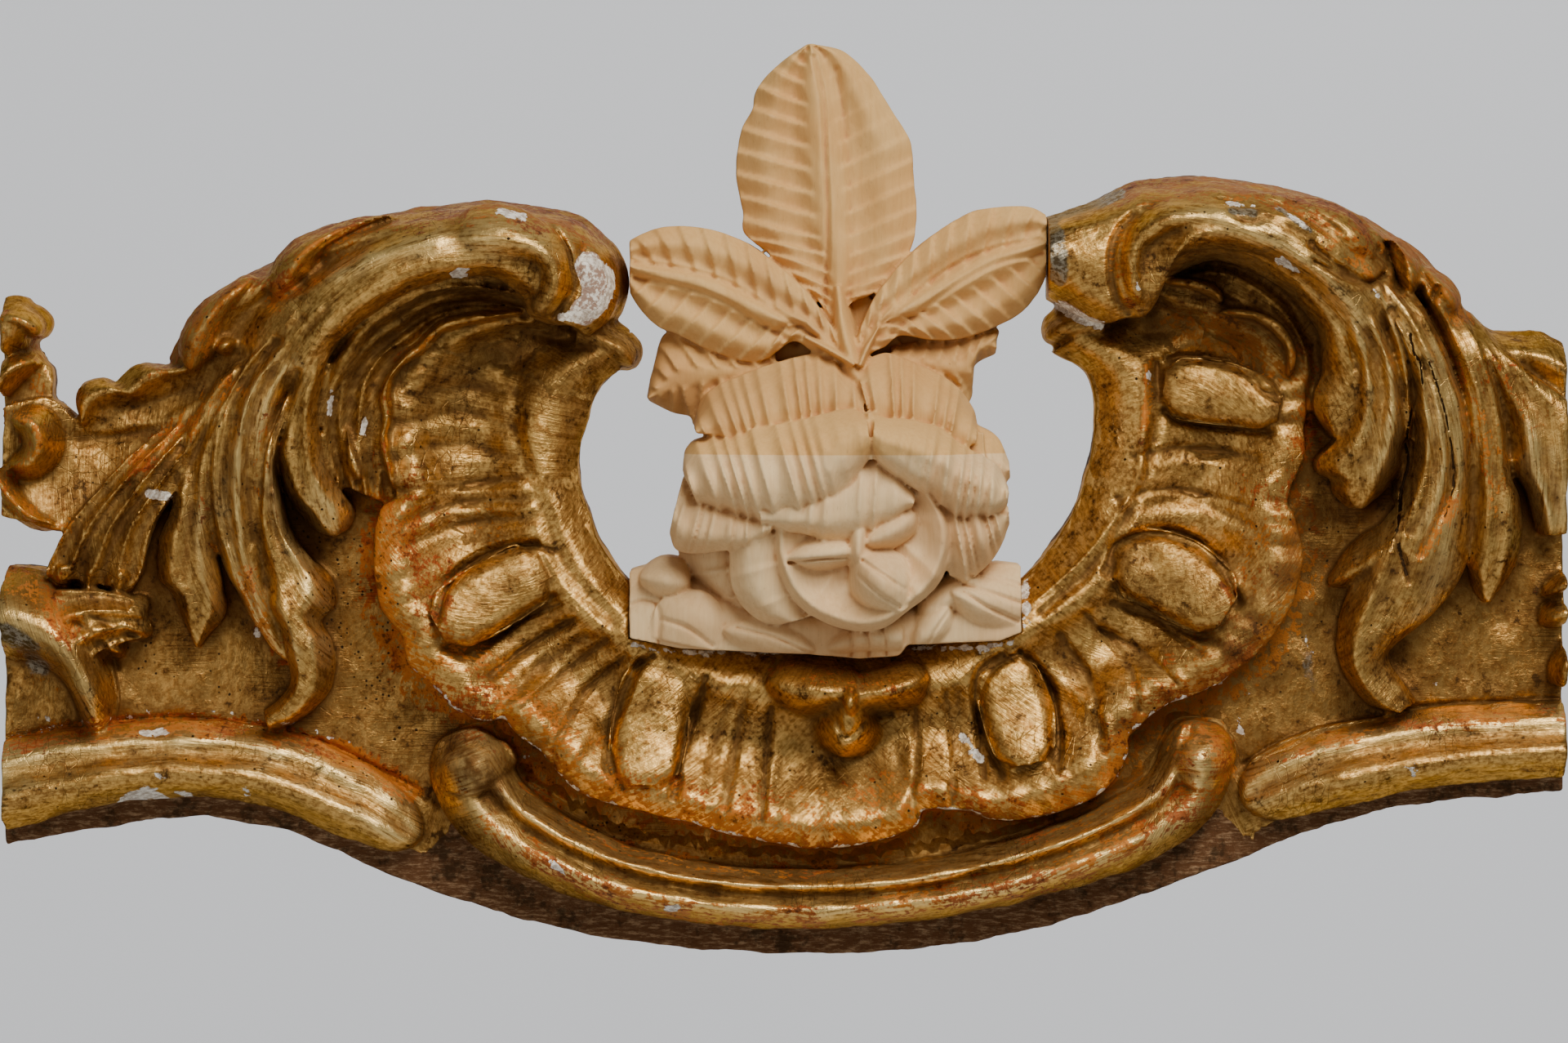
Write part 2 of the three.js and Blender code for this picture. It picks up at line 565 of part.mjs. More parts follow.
// The three large leaves with their side veins, the two small leaves behind the rose, and its stem.
const LEAF = [[22, 15, 14], [22, 19, 17], [22, 17, 15.5], [23, 21, 18], [22, 17, 15.5], [22, 19, 17],
  [22, 15, 14]];
const SIDE_LEAF = LEAF.map((row) => row.map((height) => height + 7));
const BACK_LEAF = [[16, 14], [21, 19], [23, 20], [20, 17], [15, 14]];
flower.push(
  sheet(
    [[1012, 400], [1006, 373], [968, 337], [943, 312], [911, 285], [910, 262], [902, 223], [902, 190],
      [908, 157], [921, 133], [927, 107], [954, 77], [988, 53]],
    [[1044, 400], [1040, 374], [1066, 361], [1088, 345], [1117, 301], [1123, 262], [1120, 223],
      [1117, 179], [1104, 151], [1082, 118], [1065, 91], [1034, 62], [996, 52]],
    LEAF,
    { base: FLOWER_BACK },
  ),
  sheet(
    [[1036, 428], [1004, 378], [982, 351], [943, 317], [910, 295], [861, 279], [811, 278], [772, 294],
      [763, 306]],
    [[1030, 446], [1000, 434], [971, 418], [938, 440], [910, 442], [866, 428], [833, 411], [805, 400],
      [783, 378], [763, 345]],
    SIDE_LEAF,
    { base: FLOWER_BACK },
  ),
  sheet(
    [[1046, 430], [1056, 395], [1074, 360], [1104, 323], [1137, 292], [1176, 267], [1203, 256],
      [1258, 253], [1288, 266]],
    [[1052, 446], [1068, 432], [1084, 424], [1104, 411], [1148, 417], [1192, 411], [1242, 389],
      [1270, 362], [1290, 320]],
    SIDE_LEAF,
    { base: FLOWER_BACK },
  ),
  sheet(
    [[950, 430], [900, 425], [850, 410], [813, 410], [798, 455], [791, 487]],
    [[950, 470], [890, 500], [852, 522], [844, 511], [822, 506], [794, 492]],
    BACK_LEAF,
    { base: FLOWER_BACK },
  ),
  sheet(
    [[1090, 425], [1150, 414], [1219, 402], [1222, 420]],
    [[1100, 450], [1184, 494], [1194, 450], [1221, 434]],
    BACK_LEAF,
    { base: FLOWER_BACK },
  ),
  strand([[1026, 350], [1032, 400], [1044, 446]], [12, 18, 26], [24, 30, 36], 14, { base: FLOWER_BACK }),
  strand([[985, 412], [1015, 428], [1046, 446]], [7, 10, 14], [31, 34, 37], 16, { base: FLOWER_BACK }),
  strand([[1076, 400], [1062, 425], [1052, 448]], [7, 9, 12], [31, 34, 37], 16, { base: FLOWER_BACK }),
  slab([[985, 360], [1062, 360], [1110, 430], [1060, 490], [960, 490], [920, 440]], FLOWER_BACK, 15),
  slab([[930, 296], [1104, 296], [1080, 384], [1000, 384]], FLOWER_BACK, 13),
  slab([[1054, 396], [1200, 398], [1186, 474], [1054, 490]], FLOWER_BACK, 14),
);

// The rose: back petals, the two large front petals over the mouth, and the petals round the cup.
const PETALS = [
  {
    top: [[849, 519], [858, 491], [874, 475], [896, 465], [922, 454], [955, 443], [994, 434], [1020, 439],
      [1040, 452], [1058, 468]],
    lip: [[853, 530], [890, 532], [923, 530], [962, 522], [1007, 510], [1040, 504], [1066, 504]],
    rows: [[24, 29, 29], [36, 39, 38], [41, 43, 42], [41, 43, 42]],
  },
  {
    top: [[1048, 452], [1066, 438], [1088, 433], [1118, 444], [1150, 459], [1176, 478], [1193, 501],
      [1197, 518]],
    lip: [[1062, 500], [1085, 512], [1118, 518], [1154, 528], [1180, 545], [1194, 542]],
    rows: [[30, 29, 24], [39, 38, 34], [43, 42, 38], [43, 42, 38]],
  },
  {
    top: [[836, 576], [840, 550], [858, 537], [903, 531], [929, 522], [968, 516], [1007, 508], [1040, 499],
      [1066, 503]],
    lip: [[849, 602], [858, 618], [896, 627], [922, 633], [942, 636], [994, 625], [1020, 609], [1043, 586],
      [1062, 564]],
    rows: [[34, 44, 46], [43, 53, 54], [48, 57, 58], [49, 58, 58], [47, 56, 56], [42, 50, 52]],
  },
  {
    top: [[1070, 506], [1085, 511], [1118, 514], [1150, 523], [1170, 539], [1193, 553], [1222, 570],
      [1234, 596]],
    lip: [[1066, 556], [1082, 572], [1102, 586], [1150, 616], [1176, 631], [1215, 629], [1231, 619],
      [1234, 605]],
    rows: [[46, 44, 36], [54, 53, 42], [58, 57, 46], [58, 56, 47], [56, 54, 46], [50, 48, 41]],
  },
  {
    top: [[930, 618], [1000, 596], [1062, 558], [1110, 596], [1118, 610]],
    lip: [[932, 642], [984, 651], [1014, 658], [1037, 660], [1066, 653], [1092, 641], [1114, 621]],
    rows: [[46, 48, 46], [50, 52, 50], [51, 53, 51], [49, 51, 49], [44, 46, 44]],
  },
  {
    top: [[836, 585], [862, 600], [900, 623], [946, 636]],
    lip: [[820, 652], [829, 673], [858, 676], [890, 672], [916, 670], [944, 650]],
    rows: [[32, 42, 46], [42, 48, 49], [44, 49, 50], [44, 48, 49], [38, 43, 45]],
  },
  {
    top: [[1150, 622], [1190, 628], [1234, 620]],
    lip: [[1162, 704], [1184, 711], [1210, 690], [1226, 667], [1236, 644]],
    rows: [[46, 44, 38], [47, 46, 40], [46, 46, 40], [44, 43, 37], [38, 37, 30]],
  },
  {
    top: [[1196, 520], [1222, 536], [1236, 566]],
    lip: [[1190, 600], [1222, 600], [1237, 585]],
    rows: [[28, 28], [34, 32], [30, 28]],
  },
  {
    top: [[894, 662], [894, 706], [903, 732], [918, 750], [936, 761], [956, 764]],
    lip: [[958, 650], [964, 690], [974, 720], [984, 740], [990, 750], [994, 752]],
    rows: [[36, 34, 33], [42, 40, 37], [46, 43, 40], [47, 45, 42]],
  },
  {
    top: [[829, 668], [836, 698], [854, 720], [884, 740], [911, 751]],
    lip: [[906, 660], [908, 690], [914, 720], [926, 744], [936, 760]],
    rows: [[26, 24], [34, 31], [39, 35], [41, 37]],
  },
];
for (const petal of PETALS) {
  flower.push(sheet(petal.top, petal.lip, petal.rows, { base: FLOWER_BACK }));
}

// The broad petal under the mouth, its floor and the seed forms inside.
flower.push(
  sheet(
    [[960, 640], [990, 676], [1020, 712], [1062, 722], [1100, 712], [1126, 680], [1132, 640], [1124, 616]],
    [[946, 648], [948, 682], [958, 710], [971, 732], [994, 752], [1026, 766], [1056, 771], [1085, 765],
      [1111, 746], [1140, 723], [1158, 696], [1165, 667], [1158, 641], [1140, 618]],
    [[42, 42, 42], [44, 45, 44], [46, 47, 46], [48, 49, 47], [49, 50, 48], [48, 49, 47], [40, 42, 38]],
    { base: FLOWER_BACK },
  ),
  slab([[900, 560], [1190, 560], [1160, 680], [1110, 730], [1000, 735], [950, 690]], FLOWER_BACK, 39),
  slab([[850, 520], [1060, 470], [1200, 520], [1205, 740], [900, 740], [850, 660]], FLOWER_BACK, 30),
  slab([[1036, 506], [1092, 518], [1092, 574], [1066, 592], [1036, 570]], FLOWER_BACK, 47),
  strand(
    [[1050, 682], [1080, 712], [1106, 742]],
    [28, 39, 28],
    [50, 55, 49],
    40,
    { tips: [0.4, 0.4], base: FLOWER_BACK },
  ),
  strand(
    [[958, 678], [1000, 678], [1042, 678]],
    [12, 19, 14],
    [45, 49, 48],
    38,
    { tips: [0.4, 0.2], base: FLOWER_BACK },
  ),
  strand(
    [[1054, 688], [1056, 664], [1062, 648]],
    [12, 13, 12],
    [47, 50, 49],
    38,
    { tips: [0.3, 0.1], base: FLOWER_BACK },
  ),
  strand(
    [[1062, 660], [1092, 656], [1122, 634]],
    [13, 14, 12],
    [46, 48, 46],
    38,
    { tips: [0.2, 0.2], base: FLOWER_BACK },
  ),
);

// The foot block that stands in the notch, with small leaves round the rose.
flower.push(
  sheet(
    [[760, 704], [800, 694], [850, 700], [930, 730], [1040, 740], [1150, 730], [1200, 700], [1260, 700]],
    [[760, 800], [830, 810], [940, 815], [1036, 820], [1110, 815], [1190, 800], [1260, 790]],
    [[14, 14, 20, 24, 20, 14, 14], [24, 28, 31, 32, 31, 28, 24], [29, 29], [30, 30]],
  ),
  strand([[784, 706], [812, 708], [846, 712]], [16, 28, 22], [33, 36, 33], 24, { tips: [0.4, 0.4] }),
  strand([[858, 722], [850, 752], [842, 792]], [28, 46, 44], [36, 37, 33], 28, { tips: [0.35, 0.05] }),
  strand([[1160, 722], [1200, 736], [1254, 742]], [14, 46, 48], [38, 37, 33], 26, { tips: [0.15, 0.05] }),
  strand([[1010, 794], [1056, 780], [1108, 778]], [16, 28, 30], [36, 38, 37], 27, { tips: [0.2, 0.05] }),
);

// The sawn notch and the flat joints at the two leaf tips, with a hair of room on the flower's side.
const GLUE_LINE = 0.33;
const ROOM = GLUE_LINE / GRID;
const NOTCH = {
  left: 769,
  right: 1252,
  bottom: [[769, 783], [838, 796], [988, 802], [1053, 808], [1101, 804], [1111, 791], [1225, 786], [1252, 775]],
};
const TIPS = { left: 769, right: 1284, top: 200 };
const last = NOTCH.bottom.length - 1;
const notch = slab([[NOTCH.left, 640], ...NOTCH.bottom, [NOTCH.right, 640]], 2 * BEHIND, 70);
const atLeft = slab(
  [[TIPS.left, TIPS.top], [TIPS.left, 408], [900, 408], [900, TIPS.top]],
  2 * BEHIND,
  70,
);
const atRight = slab(
  [[1150, TIPS.top], [1150, 372], [TIPS.right, 372], [TIPS.right, TIPS.top]],
  2 * BEHIND,
  70,
);
const flowerRoom = slab(
  [
    [TIPS.left + ROOM, 20],
    ...NOTCH.bottom.map(([x, y], i) => [x + (i === 0 ? ROOM : 0) - (i === last ? ROOM : 0), y - ROOM]),
    [NOTCH.right - ROOM, 640],
    [TIPS.right - ROOM, 640],
    [TIPS.right - ROOM, 20],
  ],
  0, 80,
);
const crestRoom = slab([[0, 0], [0, 1300], [STEPS_ACROSS, 1300], [STEPS_ACROSS, 0]], 0, 90);

const joined = (solids) => wasm.Manifold.union(solids);
const crestSolid = joined(crest).intersect(crestRoom).subtract(joined([notch, atLeft, atRight]));
const flowerSolid = joined(flower).intersect(flowerRoom);

// A solid as a three.js mesh with its own node name and material.
function piece(name, made, colour, metalness, roughness) {
  const data = made.getMesh();
  const corners = new Float32Array(data.numVert * 3);
  for (let i = 0; i < data.numVert; i++) {
    corners.set(data.vertProperties.subarray(i * data.numProp, i * data.numProp + 3), i * 3);
  }
  const geometry = new THREE.BufferGeometry();
  geometry.setAttribute("position", new THREE.BufferAttribute(corners, 3));
  geometry.setIndex(new THREE.BufferAttribute(data.triVerts, 1));
  geometry.computeVertexNormals();
  const finish = new THREE.MeshStandardMaterial({ color: colour, metalness, roughness });
  const mesh = new THREE.Mesh(geometry, finish);
  mesh.name = name;
  return mesh;
}

const headpiece = new THREE.Group();
headpiece.name = "carved_headpiece";
headpiece.add(
  piece("gilt_crest", crestSolid, 0x9c6f35, 0.6, 0.45),
  piece("limewood_flower", flowerSolid, 0xc9a578, 0, 0.7),
);

export default headpiece;
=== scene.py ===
# Carved headpiece: an old gilded crest with a newly carved limewood flower let into it.
# Metres. X runs to the right, Z up and the front faces -Y; the flat back is the plane y = 0.
import math

import bmesh
import bpy
import numpy as np
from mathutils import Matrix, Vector


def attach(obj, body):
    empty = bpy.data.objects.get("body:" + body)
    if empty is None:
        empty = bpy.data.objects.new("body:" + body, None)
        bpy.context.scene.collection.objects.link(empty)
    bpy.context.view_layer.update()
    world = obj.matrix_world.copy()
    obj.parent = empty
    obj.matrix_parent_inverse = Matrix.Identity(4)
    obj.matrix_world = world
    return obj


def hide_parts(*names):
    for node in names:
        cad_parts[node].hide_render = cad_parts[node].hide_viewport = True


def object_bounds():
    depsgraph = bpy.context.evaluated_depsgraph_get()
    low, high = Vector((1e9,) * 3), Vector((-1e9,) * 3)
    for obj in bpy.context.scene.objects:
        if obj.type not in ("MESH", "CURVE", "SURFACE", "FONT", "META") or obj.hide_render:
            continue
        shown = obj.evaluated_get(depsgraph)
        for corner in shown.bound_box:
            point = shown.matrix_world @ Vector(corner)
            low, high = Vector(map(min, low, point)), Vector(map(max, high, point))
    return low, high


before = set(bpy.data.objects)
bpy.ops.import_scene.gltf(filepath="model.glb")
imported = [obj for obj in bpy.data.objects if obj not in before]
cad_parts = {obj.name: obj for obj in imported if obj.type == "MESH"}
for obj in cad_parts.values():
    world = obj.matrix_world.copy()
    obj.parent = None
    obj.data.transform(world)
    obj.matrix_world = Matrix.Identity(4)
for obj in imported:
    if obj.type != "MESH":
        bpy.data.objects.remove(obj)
cad_low, cad_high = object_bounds()

# The gilded crest: one old block of wood, covered with gesso and with orange and red bole, and gilded.
# Its arms, leaves, shell, bud, scroll and mouldings are all cut from that block, so their forms are fused
# into one skin here. Only the notch and the faces for the flower were sawn later.

# Its places are points of a drawing, with x to the right and y down, 1920 steps across the width. Heights are
# in millimetres from the flat back. RAIL and FIELD are those of its flat grounds.
WIDTH = 0.3936
GRID = WIDTH / 1920
ORIGIN = (1010, 950)
MM = 0.001
BACK = 0
RAIL = 16
FIELD = 15

# How forms rise from side to side: rounded, or flat.
ROUND = [0, 0.72, 1, 0.72, 0]
FLAT = [1, 1]


def stepped(share, count):
    """The value that each share of the way has just passed, and how far it is on to the next."""
    spot = np.clip(share, 0, 1) * (count - 1)
    passed = np.clip(np.floor(spot).astype(int), 0, count - 2)
    return passed, spot - passed


def extended(values):
    """A list of values with one more at each end, in line with the last two."""
    return np.concatenate([[2 * values[0] - values[1]], values, [2 * values[-1] - values[-2]]])


def eased(a, b, c, d, t):
    """A smooth step of length t from b towards c, with a before them and d after."""
    return 0.5 * (2 * b + (c - a) * t + (2 * a - 5 * b + 4 * c - d) * t**2 + (3 * b - a - 3 * c + d) * t**3)


def through(values, share):
    """Smooth values through a short list, read at shares of the way along it."""
    v = np.array(values, float)
    if v.ndim == 0:
        return np.full(np.shape(share), float(v))
    i, t = stepped(share, len(v))
    if v.ndim == 2:
        t = t[:, None]
    p = extended(v)
    return eased(p[i], p[i + 1], p[i + 2], p[i + 3], t)


def line(points):
    """A smooth line through drawing points, and its length: it is read by its share of that length."""
    steps = np.linspace(0, 1, 24 * (len(points) - 1) + 1)
    dense = through(points, steps)
    run = np.concatenate([[0], np.cumsum(np.hypot(*np.diff(dense, axis=0).T))])
    length = run[-1]

    def at(share):
        return np.column_stack([np.interp(share, run / length, dense[:, k]) for k in (0, 1)])

    return at, length


def place(xy, height):
    """Drawing points and heights in millimetres as points in metres."""
    return np.column_stack([(xy[:, 0] - ORIGIN[0]) * GRID, -height * MM, (ORIGIN[1] - xy[:, 1]) * GRID])


def opened(share, tips, blunt):
    """How far a form with rounded ends has opened at each share of its length."""
    start, end = tips
    result = np.ones_like(share)
    if start:
        result = np.where(share < start, np.sqrt(1 - np.clip((start - share) / start, 0, 1) ** 2), result)
    if end:
        result = np.where(share > 1 - end, np.sqrt(1 - np.clip((share - 1 + end) / end, 0, 1) ** 2), result)
    return np.maximum(result, blunt)


def shaped(across, along, at):
    """A thin-walled box of mesh whose front and back are moved by a function of across and along."""
    bm = bmesh.new()
    bmesh.ops.create_grid(bm, x_segments=across, y_segments=along, size=0.5)
    made = bmesh.ops.extrude_face_region(bm, geom=bm.faces[:])
    front = [g for g in made["geom"] if isinstance(g, bmesh.types.BMVert)]
    bmesh.ops.translate(bm, verts=front, vec=(0, 0, 1))
    mesh = bpy.data.meshes.new("form")
    bm.to_mesh(mesh)
    bm.free()
    where = np.empty(3 * len(mesh.vertices))
    mesh.vertices.foreach_get("co", where)
    where = where.reshape(-1, 3)
    moved = at(where[:, 0] + 0.5, where[:, 1] + 0.5, where[:, 2] > 0.5)
    mesh.vertices.foreach_set("co", moved.ravel())
    return mesh


# The mesh size of the forms, and the share of a spine over which its direction is read.
FINE = 0.0007
NEARBY = 0.004


def strand(points, half, crown, edge, tips=(0, 0), across=ROUND, base=BACK, blunt=0.08, cuts=None):
    """A long carved form: a spine with half widths, crown heights and edge heights along it.

    Tips are the shares of its length over which its ends round off, and blunt is how wide they stay."""
    spine, length = line(points)
    widest = 2 * np.max(half)

    def at(side, share, front):
        share = 0.7 * share + 0.3 * (1 - np.cos(np.pi * share)) / 2
        middle = spine(share)
        way = spine(np.minimum(share + NEARBY, 1)) - spine(np.maximum(share - NEARBY, 0))
        way /= np.maximum(np.hypot(way[:, 0], way[:, 1]), 1e-6)[:, None]
        width = opened(share, tips, blunt)
        out = (2 * side - 1) * through(half, share) * width
        xy = middle + np.column_stack([way[:, 1], -way[:, 0]]) * out[:, None]
        low = through(edge, share)
        top = low + through(across, side) * (through(crown, share) - low) * np.sqrt(width)
        if cuts:
            top = top + cuts(side, share) * np.sqrt(width)
        return place(xy, np.where(front, top, base))

    return shaped(max(12, int(widest * GRID / FINE)), max(12, int(length * GRID / FINE)), at)


def slab(points, low, top):
    """A flat slab with the outline of a polygon of the drawing, from one height to another."""
    bm = bmesh.new()
    p = place(np.array(points, float), np.full(len(points), float(low)))
    face = bm.faces.new([bm.verts.new(c) for c in p])
    made = bmesh.ops.extrude_face_region(bm, geom=[face])
    moved = [g for g in made["geom"] if isinstance(g, bmesh.types.BMVert)]
    bmesh.ops.translate(bm, verts=moved, vec=(0, (low - top) * MM, 0))
    bmesh.ops.recalc_face_normals(bm, faces=bm.faces[:])
    mesh = bpy.data.meshes.new("form")
    bm.to_mesh(mesh)
    bm.free()
    return mesh


crest = []

# The rail behind everything, with the rough tacking margin under the mouldings.
# The plain fields between the leaves, the ground under the shell and the hollows under the arm ends.
crest += [
    strand([(-8, 990), (120, 966), (250, 955), (380, 980), (520, 1040), (700, 1094), (860, 1118),
            (1030, 1124), (1200, 1106), (1350, 1066), (1500, 1012), (1620, 965), (1760, 935), (1928, 922)],
           50, RAIL, RAIL, across=FLAT),
    slab([(330, 400), (500, 440), (500, 600), (500, 760), (580, 880), (700, 960), (700, 1060), (520, 1010),
          (380, 940), (250, 905), (60, 915), (-8, 925), (-8, 775), (60, 730), (90, 640), (130, 560),
          (220, 470)], BACK, FIELD),
    slab([(1540, 400), (1650, 320), (1730, 350), (1810, 408), (1880, 420), (1928, 430), (1928, 900),
          (1780, 905), (1640, 930), (1520, 990), (1400, 1000), (1400, 900), (1520, 800), (1560, 640)], BACK,
         FIELD),
    slab([(560, 840), (760, 900), (1000, 930), (1300, 900), (1480, 820), (1460, 1000), (1250, 1070),
          (1000, 1100), (750, 1070), (590, 980)], BACK, RAIL),
    slab([(300, 430), (400, 345), (540, 290), (690, 292), (746, 350), (752, 424), (700, 460), (560, 470),
          (450, 520)], BACK, FIELD),
    slab([(1300, 330), (1400, 262), (1560, 262), (1680, 320), (1750, 390), (1700, 480), (1560, 500),
          (1400, 470), (1292, 424)], BACK, FIELD),
]

# How a moulding and the lipped scroll rise from side to side.
MOULDING = [0, 0.8, 1, 0.62, 0.56, 0]
LIPPED = [0, 0.75, 1, 0.74, 0.98, 0.15]

# The mouldings that run off to the left and right, each with a fillet above a half round.
# Between them is the lower scroll, with a lip along its upper edge and a volute at each end.
crest += [
    strand([(-8, 966), (110, 942), (230, 932), (340, 946), (430, 985), (512, 1030)],
           [54, 50, 47, 47, 46, 34], [33, 33, 33, 33, 32, 26], 20, across=MOULDING, tips=(0, 0.1)),
    strand([(1524, 985), (1590, 955), (1680, 932), (1780, 916), (1928, 906)], [36, 50, 48, 47, 46],
           [26, 33, 33, 33, 33], 20, across=MOULDING, tips=(0.1, 0)),
    strand([(580, 895), (576, 945), (600, 992), (660, 1036), (750, 1074), (870, 1098), (1000, 1104),
            (1130, 1094), (1260, 1066), (1365, 1030), (1440, 985), (1466, 935), (1462, 884)],
           [50, 49, 44, 40, 37, 36, 36, 36, 37, 39, 43, 45, 45],
           [30, 34, 36, 37, 37, 37, 37, 37, 37, 37, 36, 34, 30], 22, across=LIPPED, tips=(0.045, 0.04)),
    strand([(594, 914), (574, 938), (572, 976)], [32, 42, 42], [34, 37, 36], 22, tips=(0.35, 0.1)),
    strand([(1478, 900), (1474, 930), (1462, 968)], [32, 40, 40], [33, 36, 36], 22, tips=(0.3, 0.1)),
    strand([(1456, 906), (1470, 932), (1476, 956)], [38, 47, 40], [37, 40, 36], 26, tips=(0.35, 0.3),
           blunt=0.6),
    strand([(572, 908), (580, 938), (592, 968)], [44, 52, 46], [37, 40.5, 37], 26, tips=(0.35, 0.3),
           blunt=0.6),
]


def sheet(first, second, heights, base=BACK, cuts=None):
    """A carved sheet between two edges, with rows of heights from the first edge to the second."""
    one, length = line(first)
    other = line(second)[0]
    middle = np.linspace(0, 1, 9)
    widest = np.max(np.hypot(*(one(middle) - other(middle)).T))

    def at(side, share, front):
        xy = one(share) * (1 - side)[:, None] + other(share) * side[:, None]
        rows = extended(np.stack([through(row, share) for row in heights]))
        i, t = stepped(side, len(heights))
        k = np.arange(len(share))
        top = eased(rows[i, k], rows[i + 1, k], rows[i + 2, k], rows[i + 3, k], t)
        if cuts:
            top = top + cuts(side, share)
        return place(xy, np.where(front, top, base))

    return shaped(max(10, int(widest * GRID / FINE)), max(10, int(length * GRID / FINE)), at)


# The shell round the opening: a smooth band at the opening, a ribbed trough and the ruffled frill.
SHELL_INNER = [(782, 430), (730, 482), (707, 560), (716, 620), (740, 675), (790, 735), (880, 785),
               (1010, 800), (1130, 785), (1220, 735), (1284, 679), (1326, 605), (1342, 530), (1336, 462),
               (1290, 432)]
SHELL_OUTER = [(640, 388), (590, 392), (545, 402), (520, 420), (490, 446), (474, 480), (472, 530),
               (476, 575), (484, 607), (464, 627), (458, 675), (464, 740), (492, 780), (500, 816),
               (536, 844), (557, 868), (593, 884), (617, 880), (633, 900), (665, 924), (701, 965),
               (745, 985), (800, 997), (850, 1010), (930, 1030), (1010, 1040), (1085, 1029), (1122, 1012),
               (1132, 993), (1180, 993), (1221, 1006), (1268, 1002), (1316, 989), (1364, 958), (1381, 924),
               (1381, 904), (1401, 883), (1432, 863), (1486, 843), (1513, 822), (1554, 788), (1575, 754),
               (1592, 713), (1595, 672), (1585, 632), (1578, 615), (1588, 584), (1598, 557), (1600, 500),
               (1596, 450), (1575, 410), (1510, 376), (1430, 345)]
SHELL_ROWS = [[17, 17, 17, 17, 17], [23, 24, 24, 24, 23], [24, 26, 26, 26, 24], [20, 22, 22, 22, 20],
              [16, 19, 20, 20, 16], [16, 20, 22, 21, 15], [18, 25, 27, 26, 15], [24, 30, 31, 30, 20],
              [24, 27, 28, 27, 20]]


def shell_ribs(side, share):
    """The soft ribs that cross the trough and the finer ruffles of the frill."""
    f = 33 * share + 0.25 * np.sin(share * 57)
    trough = np.clip((side - 0.34) / 0.12, 0, 1) * np.clip((0.92 - side) / 0.15, 0, 1)
    frill = np.clip((side - 0.74) / 0.15, 0, 1)
    ruffle = np.abs(np.sin(np.pi * (58 * share + 0.3 * np.sin(share * 91)))) - 0.6
    return 0.75 * np.sin(2 * np.pi * f) * trough * (0.65 + 0.35 * np.sin(share * 41)) + 1.1 * ruffle * frill


crest += [
    sheet(SHELL_INNER, SHELL_OUTER, SHELL_ROWS, cuts=shell_ribs),
    strand([(641, 382), (611, 386), (575, 391), (544, 399), (527, 413), (516, 426), (496, 440), (477, 463),
            (471, 486), (474, 510), (469, 537), (476, 573), (482, 600)],
           [5, 7, 8, 9, 9, 9, 9, 10, 10, 9, 10, 9, 6], [30, 33, 34, 34, 34, 33, 34, 34, 33, 32, 31, 30, 28],
           22, tips=(0.05, 0.05)),
    strand([(1424, 344), (1459, 347), (1485, 356), (1498, 370)], [5, 7, 8, 6], [30, 33, 33, 29], 20,
           tips=(0.1, 0.15)),
    strand([(1494, 382), (1512, 383), (1536, 386), (1560, 399), (1577, 420), (1582, 444), (1576, 464)],
           [5, 7, 8, 9, 9, 9, 7], [27, 31, 33, 34, 33, 31, 28], 20, tips=(0.08, 0.1)),
    strand([(706, 408), (752, 424), (776, 450)], [36, 28, 20], [25, 26, 24], 9, tips=(0, 0.3)),
    strand([(1352, 396), (1308, 402), (1280, 416)], [36, 28, 18], [25, 26, 23], 9, tips=(0, 0.3)),
]

# The raised pads of the shell: points, half widths, crown heights and edge heights.
PAD = [0, 0.75, 0.92, 1, 0.92, 0.75, 0]
PADS = [
    ([(536, 768), (600, 731), (664, 694)], [37, 43, 40], [34, 31, 28], [30, 26.5, 24]),
    ([(808, 816), (796, 886), (788, 962)], [42, 48, 42], [27, 29, 34], [23.5, 25, 30]),
    ([(1228, 810), (1246, 874), (1260, 936)], [36, 44, 36], [27, 29, 34], [23.5, 25, 30]),
    ([(1372, 688), (1436, 706), (1502, 750)], [43, 51, 42], [28, 31, 35], [24, 26, 31]),
    ([(1426, 474), (1498, 482), (1568, 500)], [37, 39, 28], [26, 28, 31], [23, 24.5, 27]),
]
for points, half, crown, edge in PADS:
    crest.append(strand(points, half, crown, edge, tips=(0.16, 0.16), blunt=0.62, across=PAD))

# The small bud on the shell under the flower.
crest += [
    strand([(1046, 846), (990, 844), (936, 834)], [32, 40, 28], [41, 41, 34], 20, tips=(0, 0.25)),
    strand([(1046, 850), (1096, 842), (1138, 830)], [28, 32, 34], [40, 41, 36], 20, tips=(0, 0.25)),
    strand([(1038, 860), (1036, 896), (1030, 932)], [30, 46, 24], [40, 38, 31], 20, tips=(0, 0.25)),
    strand([(1041, 836), (1041, 856), (1041, 876)], [10, 15, 10], [42, 47, 43], 34, tips=(0.35, 0.35)),
]


def fluted(count, depth):
    """Gouge cuts that run along a form."""
    def cut(side, share):
        f = np.mod(side * count, 1)
        return -depth * (1 - np.abs(2 * f - 1) ** 2)
    return cut


